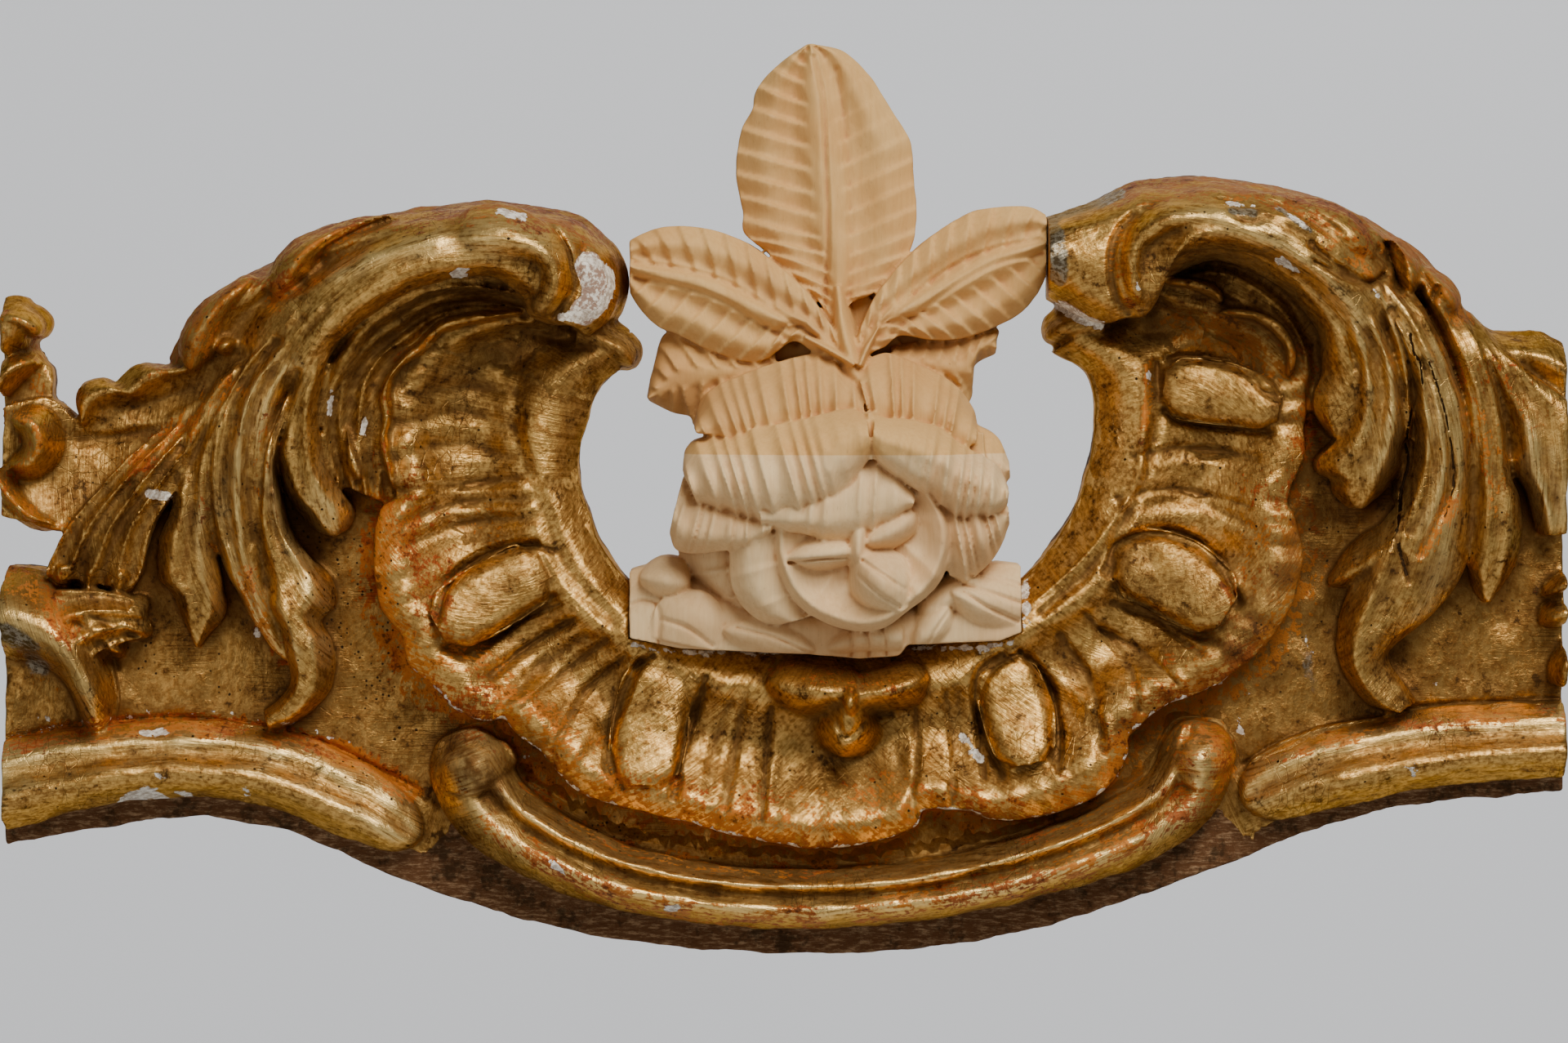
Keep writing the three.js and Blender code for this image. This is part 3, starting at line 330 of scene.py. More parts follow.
# The left arm: its back and front run from the outline to the lip over the hollow, and it curls under at its
# free end.
crest += [
    sheet([(722, 415), (749, 395), (764, 371), (768, 340), (757, 310), (741, 290), (714, 268), (674, 256),
           (610, 247), (540, 250), (462, 264), (385, 291), (310, 330), (259, 363), (219, 407), (200, 440)],
          [(700, 398), (668, 395), (648, 386), (641, 363), (620, 346), (595, 338), (560, 338), (516, 351),
           (476, 371), (437, 399), (413, 424), (397, 454), (390, 486), (388, 520)],
          [[10] * 9, [28, 34, 37, 38, 38, 37, 34, 30, 24], [34, 40, 45, 48, 46, 38, 32, 29, 24],
           [36, 41, 49, 52, 52, 48, 42, 36, 25], [38, 43, 50, 54, 53, 50, 46, 40, 26],
           [40, 44, 51, 54, 54, 52, 49, 43, 28], [40, 44, 50, 53, 53, 52, 50, 45, 30],
           [30, 38, 43, 46, 46, 45, 44, 41, 28]]),
    strand([(548, 296), (620, 292), (666, 308), (682, 338), (674, 366), (656, 384)],
           [40, 42, 38, 28, 22, 13], [55, 57, 57.4, 56.4, 54, 50], 42, tips=(0.3, 0.06)),
    strand([(480, 264), (430, 280), (385, 306), (354, 340), (337, 368)], [4, 9, 19, 29, 27],
           [33, 38, 42, 43, 39], 28, tips=(0.1, 0.28)),
    strand([(312, 340), (270, 375), (244, 415), (233, 452)], [8, 17, 25, 24], [34, 37, 38, 36], 26,
           tips=(0.1, 0.28)),
    strand([(264, 428), (277, 423), (291, 415)], [8, 13, 8], [35, 38, 35], 28, tips=(0.4, 0.4)),
    sheet([(650, 368), (620, 356), (560, 350), (516, 362), (476, 384), (440, 410), (412, 438), (398, 470),
           (394, 510), (400, 550), (416, 596)],
          [(650, 396), (611, 396), (575, 400), (540, 410), (515, 434), (490, 452), (476, 484), (474, 520),
           (472, 560), (474, 590), (470, 616)],
          [[36, 36, 35, 34, 31, 26], [27, 28, 29, 30, 29, 25], [24, 26, 28, 29, 29, 25],
           [24, 26, 27, 27, 26, 22]], cuts=fluted(3.5, 2.4)),
    strand([(424, 520), (430, 556), (442, 588)], [6, 11, 12], [30, 32, 31], 20, tips=(0.2, 0.15)),
    strand([(402, 590), (398, 540), (402, 490), (418, 446), (444, 406), (486, 370), (540, 348), (600, 342),
            (646, 356)], [9, 10, 15, 20, 20, 16, 12, 12, 10], [27, 29, 32, 35, 36, 36, 35, 35, 34], 22),
    strand([(470, 586), (478, 612)], [10, 9], [23, 22], 17),
    sheet([(380, 430), (352, 490), (338, 541), (338, 565), (345, 597), (366, 628), (386, 648), (402, 656)],
          [(400, 446), (391, 486), (389, 515), (392, 544), (401, 580), (418, 602), (430, 624), (426, 646),
           (416, 655)],
          [[36, 32, 28, 25, 23, 20], [43, 41, 40, 39, 37, 31], [44, 43, 41, 40, 38, 31],
           [45, 44, 43, 42, 38, 31], [38, 38, 37, 35, 31, 24]]),
]

# The right arm, which breaks off flat towards the opening.
crest += [
    sheet([(1278, 266), (1316, 255), (1346, 244), (1367, 232), (1396, 221), (1438, 216), (1489, 216),
           (1544, 223), (1598, 234), (1649, 253), (1691, 274), (1733, 301), (1767, 331), (1792, 368),
           (1810, 392)],
          [(1278, 362), (1300, 374), (1330, 390), (1356, 396), (1378, 388), (1402, 386), (1418, 362),
           (1424, 332), (1447, 312), (1480, 305), (1514, 307), (1548, 316), (1581, 335), (1607, 356),
           (1632, 385), (1649, 423), (1655, 455)],
          [[14, 10, 10, 10, 10, 10, 10, 10, 10], [34, 36, 37, 38, 38, 37, 34, 30, 22],
           [40, 41, 43, 46, 44, 40, 35, 29, 22], [42, 43, 46, 52, 52, 49, 42, 34, 23],
           [42, 43, 47, 53, 53, 51, 46, 39, 26], [39, 42, 46, 53, 54, 52, 49, 44, 30],
           [34, 40, 44, 49, 51, 51, 50, 46, 34], [18, 32, 38, 43, 45, 45, 44, 42, 34]]),
    strand([(1546, 286), (1480, 268), (1428, 270), (1396, 290), (1384, 322), (1388, 352), (1396, 372)],
           [34, 35, 32, 27, 25, 22, 16], [54.5, 55, 54, 53, 51, 49, 45], 38, tips=(0.25, 0.08)),
    strand([(1556, 246), (1618, 270), (1660, 300), (1680, 320)], [6, 22, 30, 24], [40, 46, 47, 43], 32,
           tips=(0.1, 0.3)),
    strand([(1700, 292), (1721, 326), (1727, 360)], [12, 18, 17], [36, 41, 40], 26, tips=(0.15, 0.32)),
    strand([(1740, 330), (1768, 362), (1781, 390)], [12, 19, 17], [33, 38, 37], 22, tips=(0.15, 0.32)),
    strand([(1664, 320), (1700, 390), (1719, 460), (1724, 540)], [16, 17, 13, 8], [43, 42, 39, 33], 28,
           tips=(0.2, 0.2)),
    strand([(1708, 440), (1724, 500), (1726, 560), (1716, 616)], [10, 12, 11, 9], [28, 28, 27, 24], 18),
    strand([(1738, 336), (1782, 420), (1804, 510), (1808, 600)], [14, 16, 14, 9], [39, 37, 35, 31], 24,
           tips=(0.2, 0.2)),
    sheet([(1420, 318), (1480, 300), (1548, 312), (1600, 350), (1636, 400), (1655, 455), (1655, 490),
           (1640, 536)],
          [(1424, 342), (1480, 320), (1540, 334), (1585, 368), (1611, 402), (1619, 452), (1610, 486),
           (1614, 512), (1630, 534)],
          [[40, 43, 44, 42, 40, 34], [40, 42, 43, 41, 39, 33], [36, 38, 39, 37, 36, 32],
           [28, 32, 34, 32, 31, 26]]),
    sheet([(1424, 332), (1500, 316), (1560, 340), (1600, 390), (1620, 455), (1606, 504)],
          [(1426, 352), (1484, 362), (1535, 392), (1572, 424), (1578, 452), (1573, 504)],
          [[20, 22, 22, 20], [22, 24, 25, 22], [20, 21, 22, 20]], cuts=fluted(2.5, 1.8)),
    sheet([(1690, 390), (1714, 450), (1724, 510), (1722, 556), (1716, 574), (1706, 590), (1692, 610),
           (1674, 624)],
          [(1632, 385), (1649, 423), (1655, 455), (1655, 486), (1649, 516), (1636, 541), (1614, 564),
           (1614, 578), (1632, 588), (1636, 604), (1652, 622)],
          [[36, 32, 28, 25, 23, 20], [44, 43, 42, 40, 36, 30], [42, 41, 40, 39, 36, 30],
           [45, 44, 43, 41, 37, 30], [40, 38, 36, 34, 30, 24]]),
]

# The leaves that fall from the left arm, from the longest by the shell to the outermost.
crest += [
    sheet([(420, 325), (350, 388), (300, 440), (264, 500), (251, 560), (253, 620), (268, 680), (296, 740),
           (325, 790), (346, 808)],
          [(470, 355), (405, 415), (356, 466), (340, 520), (335, 580), (330, 640), (326, 690), (334, 740),
           (344, 780), (350, 806)],
          [[22, 32, 30, 28, 26, 24, 20], [28, 40, 38, 36, 34, 31, 25], [32, 41, 38, 36, 34, 31, 25],
           [34, 44, 43, 40, 37, 33, 26], [34, 43, 41, 38, 35, 32, 26], [34, 44, 42, 38, 34, 31, 25],
           [30, 40, 37, 32, 28, 25, 20]]),
    sheet([(372, 440), (334, 530), (316, 600), (311, 660), (321, 730), (344, 790), (354, 825), (345, 851),
           (322, 873)],
          [(385, 450), (342, 545), (342, 603), (358, 658), (385, 691), (405, 714), (408, 741), (392, 762),
           (404, 785), (408, 806), (403, 840), (386, 867), (358, 888), (328, 897)],
          [[26, 34, 32, 29, 26, 24, 22, 20], [32, 41, 40, 38, 36, 36, 34, 28],
           [34, 40, 38, 36, 36, 37, 35, 29], [34, 40, 39, 37, 36, 36, 34, 28],
           [28, 30, 28, 27, 27, 27, 25, 21]]),
    sheet([(330, 400), (255, 480), (214, 556), (210, 620), (196, 655), (190, 706), (208, 728), (224, 768),
           (238, 794)],
          [(360, 425), (290, 496), (264, 560), (260, 620), (263, 680), (271, 720), (273, 750), (255, 774),
           (240, 795)],
          [[24, 30, 27, 24, 22, 20], [28, 35, 32, 31, 30, 25], [30, 34, 31, 30, 29, 25],
           [30, 37, 34, 32, 30, 25], [28, 34, 31, 28, 25, 20]]),
    sheet([(216, 506), (150, 568), (92, 632), (62, 680), (54, 706)],
          [(268, 522), (216, 596), (184, 650), (172, 700), (158, 722)],
          [[22, 29, 29, 28, 25], [25, 33, 33, 31, 27], [27, 35, 34, 32, 28], [27, 34, 33, 31, 27],
           [24, 30, 30, 28, 25]], cuts=fluted(4, 3.2)),
    strand([(78, 690), (70, 716)], [16, 15], [29, 26], 18, tips=(0.3, 0.3)),
    strand([(112, 694), (104, 722)], [16, 15], [30, 27], 18, tips=(0.3, 0.3)),
    strand([(148, 696), (142, 728)], [18, 15], [31, 27], 18, tips=(0.3, 0.3)),
    sheet([(372, 378), (308, 434), (232, 492), (152, 520), (100, 520), (63, 490), (30, 490), (-8, 500)],
          [(400, 400), (330, 500), (255, 572), (186, 612), (120, 640), (69, 650), (30, 640), (-8, 628)],
          [[24, 30, 27, 22, 20, 22, 24], [28, 35, 31, 25, 20, 20, 22], [30, 37, 34, 28, 22, 20, 22],
           [28, 34, 31, 28, 24, 22, 24], [24, 28, 26, 24, 24, 26, 26]]),
    strand([(12, 512), (42, 520), (50, 545), (36, 566), (10, 572)], [16, 24, 26, 22, 16],
           [35, 38, 38, 36, 32], 22, tips=(0.15, 0.15)),
    strand([(-8, 575), (8, 604), (34, 630), (70, 644)], [26, 20, 15, 8], [35, 34, 32, 28], 16,
           tips=(0, 0.1)),
    sheet([(206, 448), (184, 447), (171, 445), (156, 449), (145, 460), (137, 470), (122, 464), (106, 466),
           (92, 474), (87, 490), (94, 518)],
          [(290, 462), (250, 492), (214, 508), (171, 522), (128, 530), (104, 528)],
          [[18, 18, 18, 18], [28, 28, 27, 25], [25, 23, 22, 23], [24, 22, 20, 20], [26, 24, 22, 20]]),
    strand([(-8, 420), (20, 392), (38, 388)], [44, 40, 14], [30, 31, 29], 12, tips=(0, 0.2)),
    strand([(-8, 396), (14, 390), (34, 396), (50, 412)], [20, 20, 20, 14], [30, 33, 33, 30], 12,
           tips=(0, 0.2)),
    strand([(-8, 474), (14, 452), (34, 444), (50, 446)], [26, 24, 20, 10], [34, 34, 32, 28], 12,
           tips=(0, 0.2)),
    slab([(-8, 430), (40, 430), (58, 452), (60, 490), (90, 520), (60, 560), (-8, 560)], BACK, 18),
    strand([(-8, 750), (44, 762), (84, 796), (106, 838), (114, 872), (112, 900)], [58, 60, 50, 36, 30, 24],
           [36, 39, 39, 37, 34, 28], 14, tips=(0, 0.1)),
    sheet([(64, 724), (110, 722), (152, 730), (176, 742)], [(96, 826), (118, 800), (146, 788), (172, 782)],
          [[30, 31, 29, 26], [36, 36, 34, 29], [37, 36, 33, 28], [31, 31, 29, 26]], cuts=fluted(3, 3)),
    strand([(158, 742), (178, 746)], [13, 12], [32, 28], 16, tips=(0.2, 0.3)),
    strand([(156, 768), (180, 776)], [12, 11], [31, 27], 16, tips=(0.2, 0.3)),
    strand([(128, 790), (150, 802)], [13, 10], [31, 27], 16, tips=(0.2, 0.3)),
]

# The leaves that fall from the right arm.
crest += [
    sheet([(1640, 320), (1692, 385), (1718, 440), (1730, 500), (1731, 560), (1718, 610), (1690, 650),
           (1668, 690), (1652, 732), (1641, 775), (1643, 812), (1661, 843), (1684, 866), (1708, 874)],
          [(1690, 310), (1740, 375), (1768, 430), (1792, 500), (1802, 560), (1802, 620), (1798, 680),
           (1780, 722), (1752, 755), (1720, 780), (1703, 800), (1708, 820), (1726, 845), (1738, 862)],
          [[26, 34, 32, 30, 28, 26, 24, 20], [32, 43, 42, 40, 38, 37, 35, 29],
           [34, 42, 41, 39, 37, 36, 35, 30], [34, 44, 43, 41, 38, 36, 34, 29],
           [32, 41, 40, 38, 36, 34, 32, 28], [28, 40, 39, 37, 34, 32, 30, 27],
           [22, 36, 34, 31, 28, 27, 25, 22]]),
    strand([(1722, 655), (1675, 688), (1630, 716)], [26, 26, 13], [39, 35, 28], 18, tips=(0, 0.25)),
    sheet([(1736, 350), (1778, 430), (1801, 500), (1806, 560), (1806, 620), (1800, 680), (1808, 722),
           (1820, 738)],
          [(1776, 345), (1814, 420), (1840, 500), (1849, 570), (1862, 612), (1865, 655), (1855, 698),
           (1828, 738)],
          [[24, 34, 32, 30, 27, 20], [28, 38, 36, 34, 33, 26], [28, 37, 35, 33, 32, 26],
           [26, 37, 36, 34, 32, 26], [20, 32, 30, 28, 25, 20]]),
    sheet([(1780, 372), (1818, 450), (1847, 536), (1850, 572), (1868, 598), (1881, 632), (1886, 656)],
          [(1806, 384), (1856, 440), (1928, 500), (1934, 550), (1934, 600), (1934, 640), (1930, 652)],
          [[22, 30, 28, 26, 24, 20], [25, 35, 34, 34, 33, 28], [24, 33, 32, 32, 31, 27],
           [23, 33, 33, 33, 32, 28], [20, 28, 30, 31, 30, 26]]),
    sheet([(1786, 360), (1808, 390), (1830, 404), (1859, 406), (1885, 405), (1901, 410), (1928, 426)],
          [(1796, 400), (1820, 450), (1862, 480), (1928, 508)],
          [[14, 14, 14, 14], [28, 29, 28, 27], [27, 25, 24, 24], [26, 23, 22, 22]]),
    strand([(1932, 706), (1908, 722), (1891, 730)], [14, 15, 8], [33, 31, 26], 14, tips=(0, 0.3)),
    strand([(1932, 748), (1908, 754), (1889, 764)], [24, 20, 12], [34, 32, 27], 14, tips=(0, 0.3)),
    strand([(1934, 796), (1918, 818), (1914, 846)], [22, 18, 16], [34, 33, 28], 14, tips=(0, 0.2)),
]

# The sawn notch for the flower's foot and the flat faces where the arms meet its leaf tips.
NOTCH = [(769, 783), (838, 796), (988, 802), (1053, 808), (1101, 804), (1111, 791), (1225, 786), (1252, 775)]
TIPS = (769, 1284)

# The foot begins at this line of the drawing. The cuts go from behind the back to over the highest carving.
FOOT_TOP = 640
BELOW, ABOVE = -6, 70


def collected(name, forms):
    """One object from many overlapping forms."""
    bm = bmesh.new()
    for mesh in forms:
        bm.from_mesh(mesh)
        bpy.data.meshes.remove(mesh)
    mesh = bpy.data.meshes.new(name)
    bm.to_mesh(mesh)
    bm.free()
    made = bpy.data.objects.new(name, mesh)
    bpy.context.scene.collection.objects.link(made)
    return made


def corners(mesh):
    """The corners of a mesh, in metres."""
    found = np.empty(3 * len(mesh.vertices))
    mesh.vertices.foreach_get("co", found)
    return found.reshape(-1, 3)


def normals(mesh):
    """The way that each corner of a mesh faces."""
    found = np.empty(3 * len(mesh.vertices))
    mesh.vertices.foreach_get("normal", found)
    return found.reshape(-1, 3)


def settle(piece):
    """The piece with its modifiers made into its mesh."""
    evaluated = piece.evaluated_get(bpy.context.evaluated_depsgraph_get())
    made = bpy.data.meshes.new_from_object(evaluated)
    piece.modifiers.clear()
    old = piece.data
    piece.data = made
    bpy.data.meshes.remove(old)


def confine(mesh):
    """Corners moved back to the square ends, the flat back and the other sides of the solids' box."""
    p = np.clip(corners(mesh), list(cad_low), list(cad_high))
    mesh.vertices.foreach_set("co", p.ravel())


def fuse(piece, voxel, rounds):
    """Overlapping forms melted into one skin, a little smoothed."""
    remesh = piece.modifiers.new("skin", "REMESH")
    remesh.mode = "VOXEL"
    remesh.voxel_size = voxel
    smooth = piece.modifiers.new("smooth", "SMOOTH")
    smooth.factor = 0.5
    smooth.iterations = rounds
    settle(piece)


def relief(mesh, rounds):
    """How far each corner stands above its smoothed surroundings, in millimetres."""
    ends = np.empty(2 * len(mesh.edges), int)
    mesh.edges.foreach_get("vertices", ends)
    a, b = ends[0::2], ends[1::2]
    count = len(mesh.vertices)
    share = np.bincount(a, minlength=count) + np.bincount(b, minlength=count)
    p = corners(mesh)
    normal = normals(mesh)
    q = p.copy()
    found = []
    for i in range(max(rounds)):
        for k in range(3):
            v = q[:, k]
            q[:, k] = (np.bincount(a, v[b], count) + np.bincount(b, v[a], count)) / share
        if i + 1 in rounds:
            found.append(((p - q) * normal).sum(axis=1) / MM)
    return found


def store(mesh, name, values):
    """Values kept at the corners of a mesh, for its material."""
    kept = mesh.attributes.new(name, "FLOAT", "POINT")
    kept.data.foreach_set("value", values.astype(np.float32))


def drawn(mesh):
    """The corners of a mesh as drawing points."""
    p = corners(mesh)
    return p[:, 0] / GRID + ORIGIN[0], ORIGIN[1] - p[:, 2] / GRID


def nearness(x, y, points, reach):
    """How near drawing points are to a drawn line: 1 on it and 0 at its reach or beyond."""
    way, length = line(points)
    dots = way(np.linspace(0, 1, int(length / 2) + 2))
    result = np.zeros(len(x))
    low, high = dots.min(axis=0) - reach, dots.max(axis=0) + reach
    close = np.flatnonzero((x > low[0]) & (x < high[0]) & (y > low[1]) & (y < high[1]))
    for part in np.array_split(close, 1 + len(close) // 20000):
        gap = np.hypot(x[part, None] - dots[:, 0], y[part, None] - dots[:, 1])
        result[part] = np.clip(1 - gap.min(axis=1) / reach, 0, 1)
    return result


def zone(mesh, lines):
    """How strongly drawn lines reach each corner of a mesh, from 0 to 1."""
    x, y = drawn(mesh)
    result = np.zeros(len(x))
    for points, reach, strength in lines:
        t = nearness(x, y, points, reach)
        result = np.maximum(result, strength * t * (2 - t))
    return result


def score(mesh, marks):
    """Grooves along drawn lines, with half widths in drawing steps and depths in millimetres.

    A ridge has a negative depth. Walls that don't face the front are left alone."""
    facing = np.clip(-1.6 * normals(mesh)[:, 1], 0, 1)
    x, y = drawn(mesh)
    p = corners(mesh)
    for points, reach, depth in marks:
        t = nearness(x, y, points, reach)
        p[:, 1] += depth * MM * facing * t * t * (3 - 2 * t)
    mesh.vertices.foreach_set("co", p.ravel())


WAVES_OF_A_LENGTH = 7


def uneven(mesh, amount, waves, seed):
    """The slow rise and fall that hand tools leave, from a few crossing waves."""
    random = np.random.default_rng(seed)
    normal = normals(mesh)
    p = corners(mesh)
    total = np.zeros(len(p))
    for wave in waves:
        for _ in range(WAVES_OF_A_LENGTH):
            way = random.normal(size=3)
            way *= 2 * np.pi / (wave * MM * np.linalg.norm(way) * random.uniform(0.7, 1.4))
            total += np.sin(p @ way + random.uniform(0, 6)) * wave / waves[0]
    p += normal * (amount * MM / WAVES_OF_A_LENGTH * total * (normal[:, 1] < 0.5))[:, None]
    mesh.vertices.foreach_set("co", p.ravel())


MOST_TRIANGLES = 190000


def thin(piece):
    """The piece decimated to at most MOST_TRIANGLES triangles."""
    piece.data.calc_loop_triangles()
    decimate = piece.modifiers.new("thin", "DECIMATE")
    decimate.ratio = min(1, MOST_TRIANGLES / len(piece.data.loop_triangles))
    settle(piece)


# Grooves and ridges too fine for the forms: points, half width in drawing steps and depth in millimetres.
CREST_MARKS = [
    ([(1692, 290), (1708, 318), (1711, 352)], 10, 5.0),
    ([(1604, 320), (1640, 338), (1672, 348), (1692, 336)], 7, 2.6),
    ([(1736, 372), (1750, 368), (1758, 352)], 7, 2.6),
    ([(669, 266), (698, 308), (698, 350), (680, 390)], 5, 1.8),
    ([(536, 763), (550, 718), (589, 685), (647, 668), (676, 676)], 6, 1.6),
    ([(579, 806), (625, 768), (684, 740)], 6, 1.5),
    ([(602, 828), (650, 790), (700, 760)], 7, 1.4),
    ([(640, 868), (690, 826), (740, 786)], 8, 1.2),
    ([(676, 920), (716, 850), (764, 806)], 8, 1.4),
    ([(752, 946), (750, 890), (772, 824), (800, 804)], 6, 1.6),
    ([(826, 960), (846, 890), (864, 830)], 6, 1.6),
    ([(888, 990), (900, 920), (912, 850)], 9, 1.2),
    ([(932, 1004), (938, 930), (944, 870)], 8, 1.2),
    ([(1112, 1004), (1122, 930), (1122, 860)], 8, 1.1),
    ([(1166, 986), (1168, 920), (1160, 850)], 8, 1.2),
    ([(1206, 952), (1200, 880), (1212, 826), (1250, 800)], 6, 1.6),
    ([(1250, 798), (1286, 840), (1300, 900), (1296, 944)], 6, 1.6),
    ([(1300, 780), (1336, 836), (1350, 900)], 8, 1.4),
    ([(1330, 752), (1380, 812), (1396, 870)], 8, 1.2),
    ([(1352, 700), (1372, 664), (1420, 656), (1480, 682), (1514, 730)], 6, 1.6),
    ([(1366, 740), (1420, 764), (1470, 800)], 7, 1.4),
    ([(1350, 772), (1400, 800), (1440, 836)], 8, 1.2),
    ([(1370, 610), (1440, 600), (1530, 620)], 9, 1.2),
    ([(1390, 560), (1450, 548), (1540, 560)], 9, 1.2),
    ([(722, 290), (712, 316), (707, 340), (700, 364), (684, 384), (660, 394)], 9, 1.8),
    ([(370, 346), (376, 326), (400, 302), (437, 283), (490, 266), (556, 256)], 12, 2.2),
    ([(1386, 264), (1368, 284), (1359, 309), (1359, 339), (1366, 366), (1380, 384)], 9, 1.8),
    ([(1398, 254), (1440, 246), (1487, 248), (1530, 256)], 8, 1.0),
    ([(1490, 248), (1540, 262), (1600, 292)], 12, 1.4),
    ([(1576, 246), (1606, 262), (1640, 286)], 6, 1.2),
    ([(1600, 300), (1640, 330), (1676, 344), (1696, 330), (1699, 300)], 8, 2.4),
    ([(1740, 374), (1752, 366), (1744, 336)], 6, 1.6),
    ([(1500, 262), (1526, 254), (1550, 262), (1526, 272), (1500, 262)], 7, 1.0),
    ([(1700, 380), (1722, 430), (1732, 500), (1731, 552), (1719, 606)], 9, 2.0),
    ([(1720, 607), (1719, 628), (1711, 648), (1709, 668), (1718, 688), (1723, 712)], 6, 1.4),
    ([(1738, 440), (1758, 480), (1770, 540), (1776, 581), (1771, 609), (1755, 641), (1738, 676)], 9, 1.6),
    ([(340, 596), (339, 560), (341, 530), (352, 490), (368, 456)], 9, 2.0),
    ([(404, 380), (352, 430), (318, 482), (304, 540), (304, 600), (312, 660)], 10, 1.2),
    ([(372, 390), (310, 450), (280, 510), (270, 570), (268, 620), (276, 660)], 10, 1.3),
    ([(206, 620), (236, 560), (276, 500), (330, 440)], 10, 1.4),
    ([(182, 600), (150, 640), (128, 690), (124, 716)], 8, 1.2),
    ([(160, 590), (124, 630), (104, 670), (98, 716)], 8, 1.2),
    ([(95, 540), (150, 534), (214, 524), (275, 480), (340, 420)], 14, 1.6),
    ([(120, 500), (170, 496), (230, 478)], 12, 1.0),
    ([(532, 756), (545, 722), (572, 692), (606, 674), (654, 667)], 10, 2.4),
    ([(545, 794), (572, 800), (613, 772), (676, 732)], 10, 2.0),
    ([(584, 838), (628, 806), (690, 766)], 13, 1.3),
    ([(612, 862), (660, 818), (716, 782)], 12, 1.2),
    ([(664, 912), (690, 868), (742, 822)], 14, 1.1),
    ([(784, 812), (754, 876), (745, 935), (762, 966)], 10, 2.4),
    ([(862, 846), (836, 913), (826, 975)], 10, 2.0),
    ([(900, 850), (876, 910), (868, 975)], 12, 1.1),
    ([(960, 930), (952, 975), (950, 1010)], 12, 1.0),
    ([(1228, 804), (1196, 832), (1206, 900), (1228, 950)], 10, 2.4),
    ([(1262, 806), (1290, 850), (1293, 930)], 10, 2.0),
    ([(1174, 850), (1176, 920), (1190, 980)], 13, 1.2),
    ([(1300, 796), (1330, 850), (1350, 920)], 13, 1.1),
    ([(1360, 704), (1374, 664), (1432, 652), (1490, 682), (1516, 738)], 10, 2.4),
    ([(1366, 718), (1400, 742), (1450, 770), (1492, 788)], 10, 2.0),
    ([(1404, 620), (1470, 616), (1540, 650)], 14, 1.2),
    ([(1352, 776), (1400, 810), (1450, 850)], 14, 1.1),
    ([(1432, 440), (1480, 440), (1524, 455), (1545, 478), (1568, 486)], 9, 2.0),
    ([(1428, 504), (1460, 517), (1556, 530)], 9, 2.0),
    ([(1420, 446), (1422, 500), (1418, 540)], 10, 1.4),
    ([(1410, 560), (1480, 556), (1556, 576)], 14, 1.0),
    ([(634, 470), (633, 539), (664, 627), (681, 675), (706, 716), (750, 762)], 16, 1.4),
    ([(1405, 446), (1401, 521), (1393, 586), (1365, 636), (1323, 689), (1266, 738)], 7, -1.0),
    ([(1416, 446), (1412, 521), (1404, 590), (1376, 644), (1334, 700), (1276, 752)], 10, 1.4),
    ([(500, 486), (560, 474), (630, 482)], 14, 1.2),
    ([(492, 520), (560, 508), (626, 524)], 14, 1.3),
    ([(486, 560), (550, 546), (622, 560)], 14, 1.3),
    ([(490, 604), (552, 596), (632, 588)], 12, 1.4),
    ([(496, 640), (556, 618), (644, 612)], 12, 1.4),
    ([(500, 668), (560, 644), (650, 634)], 12, 1.3),
    ([(-8, 912), (79, 893), (214, 882), (321, 896), (386, 911), (446, 938), (510, 972)], 6, 1.4),
    ([(1528, 940), (1566, 916), (1622, 897), (1704, 882), (1751, 868), (1847, 863), (1928, 860)], 6, 1.4),
    ([(986, 866), (1020, 880), (1034, 900)], 8, 1.6),
    ([(1092, 876), (1062, 882), (1040, 900)], 8, 1.6),
    ([(56, 796), (80, 830), (88, 862)], 12, 1.0),
    ([(92, 760), (120, 786), (136, 820)], 10, 1.4),
    ([(108, 752), (150, 772), (176, 786)], 8, 1.0),
]

# The forms are fused, grooved, made a little uneven and thinned. How far each place stands above or below its
# surroundings is kept for its colour.
CREST_SKIN = 0.0006
crest_piece = collected("gilt_crest_carving", crest)
confine(crest_piece.data)
fuse(crest_piece, CREST_SKIN, 2)
score(crest_piece.data, CREST_MARKS)
uneven(crest_piece.data, 0.7, (16, 8, 4), 4)
for name, height in zip(("near", "far"), relief(crest_piece.data, (10, 120))):
    store(crest_piece.data, name, height)
thin(crest_piece)

# The notch is sawn, and the ends of the arms are cut flat at both sides of the flower.
cutters = [
    slab([(NOTCH[0][0], FOOT_TOP), *NOTCH, (NOTCH[-1][0], FOOT_TOP)], BELOW, ABOVE),
    slab([(TIPS[0], 200), (TIPS[0], 408), (900, 408), (900, 200)], BELOW, ABOVE),
    slab([(1150, 200), (1150, 372), (TIPS[1], 372), (TIPS[1], 200)], BELOW, ABOVE),
]
for cutter in cutters:
    tool = bpy.data.objects.new("cutter", cutter)
    bpy.context.scene.collection.objects.link(tool)
    cut = crest_piece.modifiers.new("notch", "BOOLEAN")
    cut.operation = "DIFFERENCE"
    cut.solver = "FAST"
    cut.object = tool
    settle(crest_piece)
    bpy.data.objects.remove(tool)
confine(crest_piece.data)
